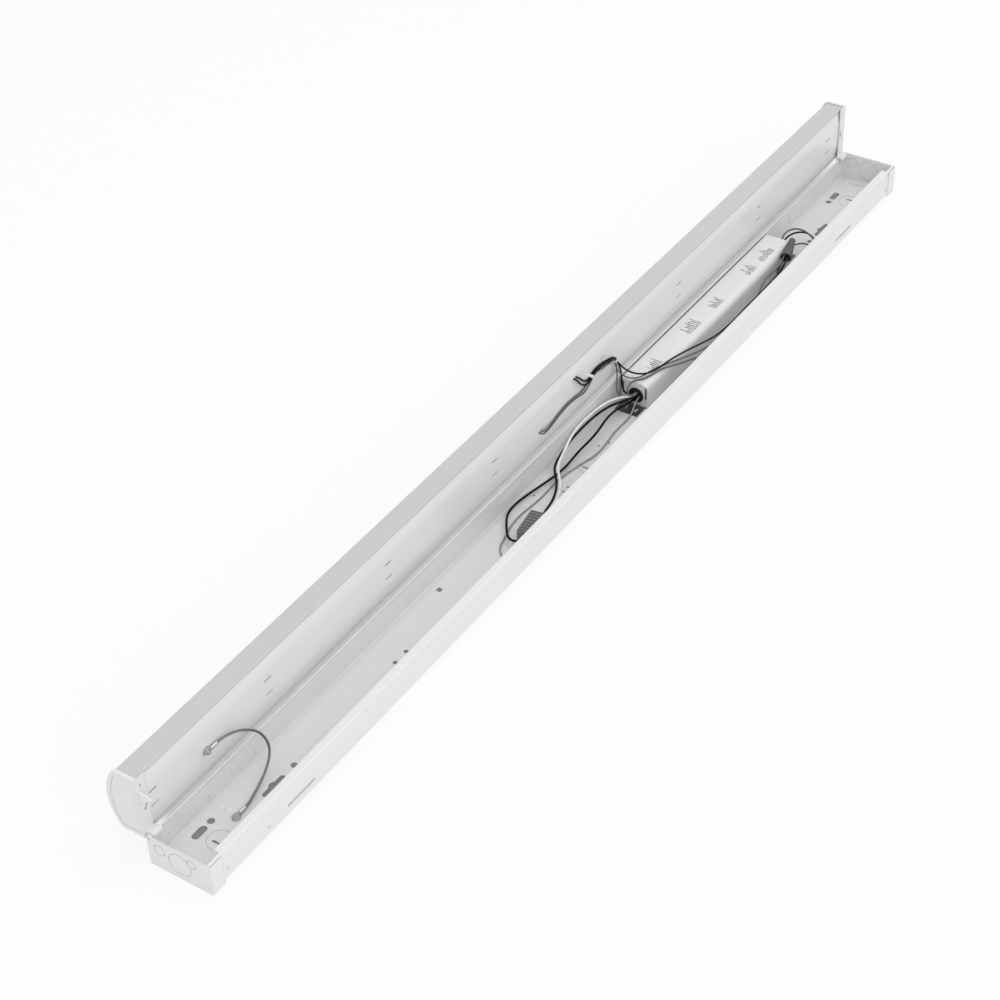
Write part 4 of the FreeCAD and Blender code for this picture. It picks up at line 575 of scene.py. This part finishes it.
class Finish:
    """A material with a Principled shader, and short ways to hang patterns on it."""

    def __init__(self, name, colour, roughness, metallic=0.0, **sockets):
        self.material = bpy.data.materials.new(name)
        self.material.use_nodes = True
        self.material.diffuse_color = (*colour, 1)
        self.tree = self.material.node_tree
        self.shader = self.tree.nodes["Principled BSDF"]
        self.shader.inputs["Base Color"].default_value = (*colour, 1)
        self.shader.inputs["Roughness"].default_value = roughness
        self.shader.inputs["Metallic"].default_value = metallic
        for socket, value in sockets.items():
            self.shader.inputs[socket.replace("_", " ")].default_value = value
        self.place = self.tree.nodes.new("ShaderNodeTexCoord").outputs["Object"]
        self.height = None

    def placed(self, scale=(1, 1, 1), turn=0.0, source=None):
        """The coordinates, scaled along each axis and turned about Z."""
        node = self.tree.nodes.new("ShaderNodeMapping")
        node.inputs["Scale"].default_value = scale
        node.inputs["Rotation"].default_value = (0, 0, turn)
        self.tree.links.new(source or self.place, node.inputs["Vector"])
        return node.outputs[0]

    def noise(self, size, detail, place=None):
        """Cloudy pattern from 0 to 1 whose blobs are about size metres across."""
        node = self.tree.nodes.new("ShaderNodeTexNoise")
        node.inputs["Scale"].default_value = 1 / size
        node.inputs["Detail"].default_value = detail
        self.tree.links.new(place or self.place, node.inputs["Vector"])
        return node.outputs["Fac"]

    def cells(self, size):
        """Random value from 0 to 1 in each of many cells, about size metres across."""
        node = self.tree.nodes.new("ShaderNodeTexVoronoi")
        node.inputs["Scale"].default_value = 1 / size
        self.tree.links.new(self.place, node.inputs["Vector"])
        split = self.tree.nodes.new("ShaderNodeSeparateColor")
        self.tree.links.new(node.outputs["Color"], split.inputs[0])
        return split.outputs[0]

    def waves(self, axis, scale, place):
        """Stripes across an axis: half of 1 + sin(factor * scale * place), apart from a phase."""
        node = self.tree.nodes.new("ShaderNodeTexWave")
        node.bands_direction = axis
        node.inputs["Scale"].default_value = scale
        self.tree.links.new(place, node.inputs["Vector"])
        return node

    def maths(self, operation, *values):
        """Math node in this finish, on numbers or sockets."""
        return maths(self.tree, operation, *values)

    def spread(self, value, low, high, start=NOISE_LOW, end=NOISE_HIGH):
        """A value from start..end carried to low..high."""
        node = self.tree.nodes.new("ShaderNodeMapRange")
        for socket, number in zip(("From Min", "From Max", "To Min", "To Max"),
                                  (start, end, low, high)):
            node.inputs[socket].default_value = number
        self.tree.links.new(value, node.inputs["Value"])
        return node.outputs[0]

    def colours(self, factor, first, second):
        """Colour mixed from first to second by factor; either may be a socket."""
        node = self.tree.nodes.new("ShaderNodeMix")
        node.data_type = "RGBA"
        self.tree.links.new(factor, node.inputs["Factor"])
        for socket, value in ((node.inputs[6], first), (node.inputs[7], second)):
            if isinstance(value, tuple):
                socket.default_value = (*value, 1)
            else:
                self.tree.links.new(value, socket)
        return node.outputs[2]

    def paint(self, socket, value):
        """Hangs a pattern on a socket of the shader."""
        self.tree.links.new(value, self.shader.inputs[socket])
        return self

    def bump(self, height, depth):
        """Relief of that many metres, stacked on any relief before it."""
        node = self.tree.nodes.new("ShaderNodeBump")
        node.inputs["Strength"].default_value = 1.0
        node.inputs["Distance"].default_value = depth
        self.tree.links.new(height, node.inputs["Height"])
        if self.height:
            self.tree.links.new(self.height, node.inputs["Normal"])
        self.height = node.outputs[0]
        self.tree.links.new(self.height, self.shader.inputs["Normal"])
        return self

    def rounded(self, radius):
        """Shades every edge as if it were rounded; called before the first bump."""
        node = self.tree.nodes.new("ShaderNodeBevel")
        node.samples = 4
        node.inputs["Radius"].default_value = radius
        self.height = node.outputs[0]
        self.tree.links.new(self.height, self.shader.inputs["Normal"])
        return self


# %% [markdown]
# ## Baked enamel
# The channel, the tray and the driver are sheet steel with baked white paint. A flat white would look
# like paper. Real enamel pools a little, so its gloss wanders, its skin has an orange peel of a few
# tenths of a millimetre, and a clear coat gives the second, sharper gloss.

# %% Enamel
WHITE = (0.80, 0.80, 0.80)       # all the paint, and the plastic made to match it


def shade(colour, amount):
    """The colour made lighter or darker, at most white."""
    return tuple(min(1.0, channel * amount) for channel in colour)


def enamel(name, colour, roughness=0.32, edge=0.0007):
    """Baked white paint on folded sheet: soft gloss, faint orange peel, hardly visible clouds."""
    finish = Finish(name, colour, roughness, Coat_Weight=0.25, Coat_Roughness=0.12)
    clouds = finish.noise(0.09, 3)                      # 9 cm across
    finish.paint("Base Color", finish.colours(clouds, shade(colour, 0.975), shade(colour, 1.012)))
    finish.paint("Roughness", finish.spread(finish.noise(0.03, 4), roughness - 0.015,
                                            roughness + 0.02))
    finish.rounded(edge)
    finish.bump(finish.noise(0.0016, 2), 0.000012)      # orange peel
    return finish


# %% [markdown]
# ## Moulded plastic
# The end caps, bushings, wire nut and small parts are moulded. The mould leaves an even fine grain, and
# the melt leaves faint clouds drawn out along its flow, which a stretched noise gives.

# %% Moulded plastic
def moulded(name, colour, roughness=0.42, grain=0.0004, edge=0.0006):
    """Moulded plastic: an even grain from the mould and faint flow clouds."""
    finish = Finish(name, colour, roughness, Specular_IOR_Level=0.45)
    flow = finish.noise(0.02, 2, finish.placed((0.3, 1, 1)))     # drawn out along X
    finish.paint("Base Color", finish.colours(flow, shade(colour, 0.96), shade(colour, 1.03)))
    finish.paint("Roughness", finish.spread(finish.noise(0.008, 3), roughness - 0.06,
                                            roughness + 0.06))
    finish.rounded(edge)
    finish.bump(finish.noise(grain, 3), 0.000015)
    return finish


# %% [markdown]
# ## The surge module's ribs
# The gray module has narrow ribs across its lid. They are shallow and many, so the material carries
# them: one wave drives both a bump and a lighter colour on the crests, which is a painted highlight.
# The module lies askew, and the Mapping node turns the wave with it.

# %% Ribbed lid
RIB_PITCH = 0.0042
RIB_DEPTH = 0.0003


def ribbed_lid():
    """Gray moulding with ribs across it, their crests coloured lighter as a painted highlight: half of
    1 + sin(2 pi x / pitch), cut and spread.
    """
    finish = moulded("module_plastic", (0.13, 0.13, 0.135), 0.5, 0.0005)
    ribs = finish.waves("X", 2 * pi / WAVE_FACTOR / RIB_PITCH, finish.placed(turn=-MODULE_TURN))
    crest_height_and_highlight = finish.spread(ribs.outputs["Fac"], 0, 1, 0.55, 0.95)
    # painted highlight: the crests of the ribs are coloured a lighter gray
    finish.paint("Base Color", finish.colours(crest_height_and_highlight, (0.10, 0.10, 0.105), (0.24, 0.24, 0.245)))
    return finish.bump(crest_height_and_highlight, RIB_DEPTH)


# %% [markdown]
# ## Frosted lens
# The lens is drawn out of a milky plastic. Light enters it and comes out nearby, which subsurface
# scattering does, and the die leaves very fine lines along its whole length.

# %% Frosted lens
def frosted_lens():
    """Diffusing extrusion: milky body, satin surface, faint draw lines along the length."""
    colour = (0.585, 0.585, 0.59)
    finish = Finish("lens_diffuser", colour, 0.5, Subsurface_Weight=0.35, Subsurface_Scale=0.004,
                    Specular_IOR_Level=0.4)
    finish.shader.inputs["Subsurface Radius"].default_value = (1, 1, 1)
    lines = finish.noise(0.0012, 2, finish.placed((0.01, 1, 1)))     # a hundred times as long
    finish.paint("Base Color", finish.colours(finish.noise(0.25, 2), shade(colour, 0.97),
                                              shade(colour, 1.03)))
    finish.paint("Roughness", finish.spread(lines, 0.44, 0.56))
    finish.bump(lines, 0.00001)
    finish.bump(finish.noise(0.0005, 2), 0.000008)
    return finish


# %% [markdown]
# ## Bare metals
# The driver's feet are galvanised: zinc grows in flat crystals that each mirror a little differently,
# which random cells give. The studs, nuts and cable are bright steel with streaks from their tools,
# and dark patches in their colour that are a painted reflection.

# %% Metals
SPANGLE = 0.006                  # metres across a crystal of the zinc


def zinc(name, colour):
    """Zinc plate: cells of slightly different gray, and a gloss that wanders."""
    roughness = 0.38
    finish = Finish(name, colour, roughness, metallic=1.0)
    patches = finish.cells(SPANGLE)
    finish.paint("Base Color", finish.colours(patches, shade(colour, 0.86), shade(colour, 1.12)))
    finish.paint("Roughness", finish.spread(finish.noise(SPANGLE, 3), roughness - 0.1,
                                            roughness + 0.12))
    finish.rounded(0.0002)
    finish.bump(finish.noise(0.0007, 3), 0.00001)
    return finish


def turned_steel(name, colour, roughness):
    """Bright small hardware with fine tool marks, and dark patches in its colour that are a painted
    reflection.
    """
    finish = Finish(name, colour, roughness, metallic=1.0)
    marks_and_reflection = finish.noise(0.0006, 4, finish.placed((1, 1, 6)))
    # tool marks and painted reflection: the colour falls to about a third in dark patches
    finish.paint("Base Color", finish.colours(marks_and_reflection, shade(colour, 0.35), shade(colour, 1.25)))
    finish.paint("Roughness", finish.spread(marks_and_reflection, roughness - 0.08, roughness + 0.15))
    finish.rounded(0.00025)
    finish.bump(marks_and_reflection, 0.00001)
    return finish


# %% [markdown]
# ## Insulation and copper
# Insulation is pressed out round the wire, so its streaks run along the lead. They come from the
# tube's own UV map, because a pattern in space would cut across every bend. The winding inside the
# driver is seen only when it is opened, and one fine wave draws its turns of wire.

# %% Insulation and copper
INSULATION_ROUGHNESS = 0.45
TURNS_STRETCH = 20
TURNS_SCALE = 100                # with the stretch, a turn of wire each 2 pi / 40000 of a metre


def insulation(name, colour):
    """Extruded insulation: soft gloss, smudges in space and streaks along the lead."""
    roughness = INSULATION_ROUGHNESS
    finish = Finish(name, colour, roughness, Specular_IOR_Level=0.1)
    uv = finish.tree.nodes.new("ShaderNodeUVMap")
    uv.uv_map = "UVMap"
    streaks = finish.noise(0.12, 3, finish.placed((6, 1, 1), source=uv.outputs[0]))
    smudges = finish.noise(0.012, 3)
    lighter = tuple(min(1.0, channel * 1.15 + 0.003) for channel in colour)
    finish.paint("Base Color", finish.colours(smudges, shade(colour, 0.88), lighter))
    finish.paint("Roughness", finish.spread(smudges, roughness - 0.08, roughness + 0.12))
    finish.bump(streaks, 0.00002)
    return finish


def copper_turns():
    """Enamelled copper under clear tape, with a line for each turn of wire."""
    finish = Finish("copper_winding", (0.55, 0.24, 0.1), 0.3, metallic=0.7)
    turns = finish.waves("Z", TURNS_SCALE, finish.placed((TURNS_STRETCH,) * 3))
    turns.inputs["Distortion"].default_value = 0.5
    finish.paint("Base Color", finish.colours(turns.outputs["Fac"], (0.3, 0.11, 0.04),
                                              (0.72, 0.36, 0.16)))
    finish.bump(turns.outputs["Fac"], 0.0001)
    return finish


# %% [markdown]
# ## The driver's top
# The driver is white, with plain dark marks on its top: short bars in a few columns, of lengths that
# a random number per bar chooses. They are painted by the material, from the position on the top
# face alone.

# %% Driver paint with plain marks
# X from and to of each column of marks, in metres.
MARK_COLUMNS = [(0.136, 0.152), (0.208, 0.232), (0.262, 0.280), (0.336, 0.352), (0.366, 0.392)]
MARK_PITCH = 0.0030              # from one bar to the next
BAR_SHARE = 0.5                  # of that, how much is bar
BAR_START = 0.006                # Y where every bar starts
BAR_SHORTEST, BAR_VARIES = 0.005, 0.010
BREAK_SIZE, BREAK_LEVEL = 0.0012, 0.36   # breaks in the bars, where a noise is below the level
INK, INK_COVER = (0.03, 0.03, 0.03), 0.95
DRIVER_TOP = 0.0283              # Z that only the top face is above


def driver_paint():
    """White enamel; bars along Y where the position falls in a column of marks on the top."""
    finish = enamel("driver_paint", WHITE, 0.3, 0.0004)
    split = finish.tree.nodes.new("ShaderNodeSeparateXYZ")
    finish.tree.links.new(finish.place, split.inputs[0])
    x, y, z = split.outputs
    row = finish.maths("DIVIDE", x, MARK_PITCH)
    in_bar = finish.maths("LESS_THAN", finish.maths("FRACT", row), BAR_SHARE)
    random = finish.tree.nodes.new("ShaderNodeTexWhiteNoise")
    random.noise_dimensions = "1D"
    finish.tree.links.new(finish.maths("FLOOR", row), random.inputs["W"])
    bar_end = finish.maths("MULTIPLY_ADD", random.outputs["Value"], BAR_VARIES,
                           BAR_START + BAR_SHORTEST)
    unbroken = finish.maths("GREATER_THAN", finish.noise(BREAK_SIZE, 0), BREAK_LEVEL)
    inside = finish.maths("MULTIPLY", finish.maths("GREATER_THAN", y, BAR_START),
                          finish.maths("LESS_THAN", y, bar_end))
    on_top = finish.maths("GREATER_THAN", z, DRIVER_TOP)
    columns = None
    for start, end in MARK_COLUMNS:
        column = finish.maths("MULTIPLY", finish.maths("GREATER_THAN", x, start),
                              finish.maths("LESS_THAN", x, end))
        columns = column if columns is None else finish.maths("ADD", columns, column)
    ink = columns
    for factor in (in_bar, inside, unbroken, on_top):
        ink = finish.maths("MULTIPLY", ink, factor)
    paint = finish.shader.inputs["Base Color"].links[0].from_socket
    finish.paint("Base Color", finish.colours(finish.maths("MULTIPLY", ink, INK_COVER), paint,
                                              INK))
    return finish


# %% [markdown]
# ## Who gets which finish
# The frame names a slot for every node, and each slot gets one finish here. Two nodes look unlike
# the rest of their slot, so they have a finish of their own.

# %% Give every slot its finish
FINISHES = {
    "housing_paint": enamel("housing_paint", WHITE),
    "tray_paint": enamel("tray_paint", WHITE, 0.3, 0.0005),
    "driver_paint": driver_paint(),
    "cap_plastic": moulded("cap_plastic", WHITE, 0.36, edge=0.0009),
    "lens_diffuser": frosted_lens(),
    "bright_steel": turned_steel("bright_steel", (0.70, 0.70, 0.71), 0.18),
    "tether_wire": turned_steel("tether_wire", (0.26, 0.26, 0.265), 0.25),
    "black_nylon": moulded("black_nylon", (0.006, 0.006, 0.006), 0.5),
    "white_nylon": moulded("white_nylon", (0.70, 0.70, 0.69), 0.4),
    "module_plastic": ribbed_lid(),
    "wire_nut_plastic": moulded("wire_nut_plastic", (0.10, 0.10, 0.105), 0.5),
    "lead_black": insulation("lead_black", (0.006, 0.006, 0.006)),
    "lead_gray": insulation("lead_gray", (0.15, 0.15, 0.155)),
    "lead_white": insulation("lead_white", (0.88, 0.88, 0.87)),
    "circuit_board": moulded("circuit_board", (0.02, 0.16, 0.06), 0.3, 0.001),
    "ferrite": moulded("ferrite", (0.03, 0.03, 0.032), 0.55, 0.0003),
    "copper_winding": copper_turns(),
    "capacitor_can": moulded("capacitor_can", (0.02, 0.02, 0.03), 0.3),
    "varistor_coating": moulded("varistor_coating", (0.03, 0.08, 0.30), 0.35, 0.0008),
    "led_board_face": enamel("led_board_face", (0.78, 0.78, 0.76), 0.4, 0.0002),
    "led_phosphor": moulded("led_phosphor", (0.80, 0.68, 0.16), 0.5, 0.0002),
}
OWN_FINISHES = {
    "return_lead_gray": insulation("lead_light_gray", (0.34, 0.34, 0.345)),
    "driver_base_plate": zinc("driver_zinc", (0.20, 0.20, 0.205)),
}
slot_of = {part["node"]: part["material_slot"] for part in frame["record"]["subparts"]}


def finish_of(node_name):
    """Material of a node: its own finish, or that of its slot."""
    return OWN_FINISHES.get(node_name, FINISHES[slot_of[node_name]]).material


for node_name, node in nodes.items():
    for material_slot in node.material_slots:
        material_slot.material = finish_of(node_name)
print(len(nodes), "nodes painted with", len(FINISHES) + len(OWN_FINISHES), "finishes")

# %% [markdown]
# ## Leads and cable
# The leads that stay in the channel move with the housing. The four that climb to the tray, and the
# tether cable, are laid where they lie with the door open.

# %% Make the leads
LEAD_STEP = 0.0012               # metres between the rings of a lead


def dress(piece, node_name):
    piece.data.materials.append(finish_of(node_name))
    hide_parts(node_name)


def lay_lead(name, diameter_mm, route):
    """Tube along the smooth line of a lead's route, dressed."""
    line = smooth_line(route, LEAD_STEP)
    piece = tube(name + "_wire", line, diameter_mm / 2000)
    dress(piece, name)
    return piece


for lead_name, (lead_diameter, lead_route) in CHANNEL_LEADS.items():
    lead_piece = lay_lead(lead_name, lead_diameter, lead_route)
    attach(lead_piece, "housing")

for lead_name, (lead_diameter, lead_route) in HINGE_LEADS.items():
    lead_piece = lay_lead(lead_name, lead_diameter, lead_route)
    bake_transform(lead_piece)


# %% [markdown]
# ## Tether cable
# The tether is a rope of bright wire strands. Seen along its length its outline bulges once for each
# strand, and the bulges wind round it, so one formula makes it: the radius falls between the strands,
# and the angle of the strands grows with the length.

# %% Make the tether cable
STRANDS = 7
LAY_LENGTH = 0.011               # metres for one full turn of a strand
TETHER_RADIUS = 0.0011
GROOVE = 0.22                    # depth between two strands, as a share of the radius
ROPE_STEP, ROPE_SIDES = 0.0004, 56


def stranded(along, around):
    """Radius of a rope: each strand is a bulge, 1 - groove * (1 - |cos|), wound along the length."""
    winding = STRANDS / 2 * (around + 2 * pi * along / LAY_LENGTH)
    return TETHER_RADIUS * (1 - GROOVE * (1 - np.abs(np.cos(winding))))


tether_line = smooth_line(TETHER, ROPE_STEP)
tether_piece = tube("tether_rope", tether_line, stranded, sides=ROPE_SIDES)
dress(tether_piece, "tether_cable")
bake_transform(tether_piece)
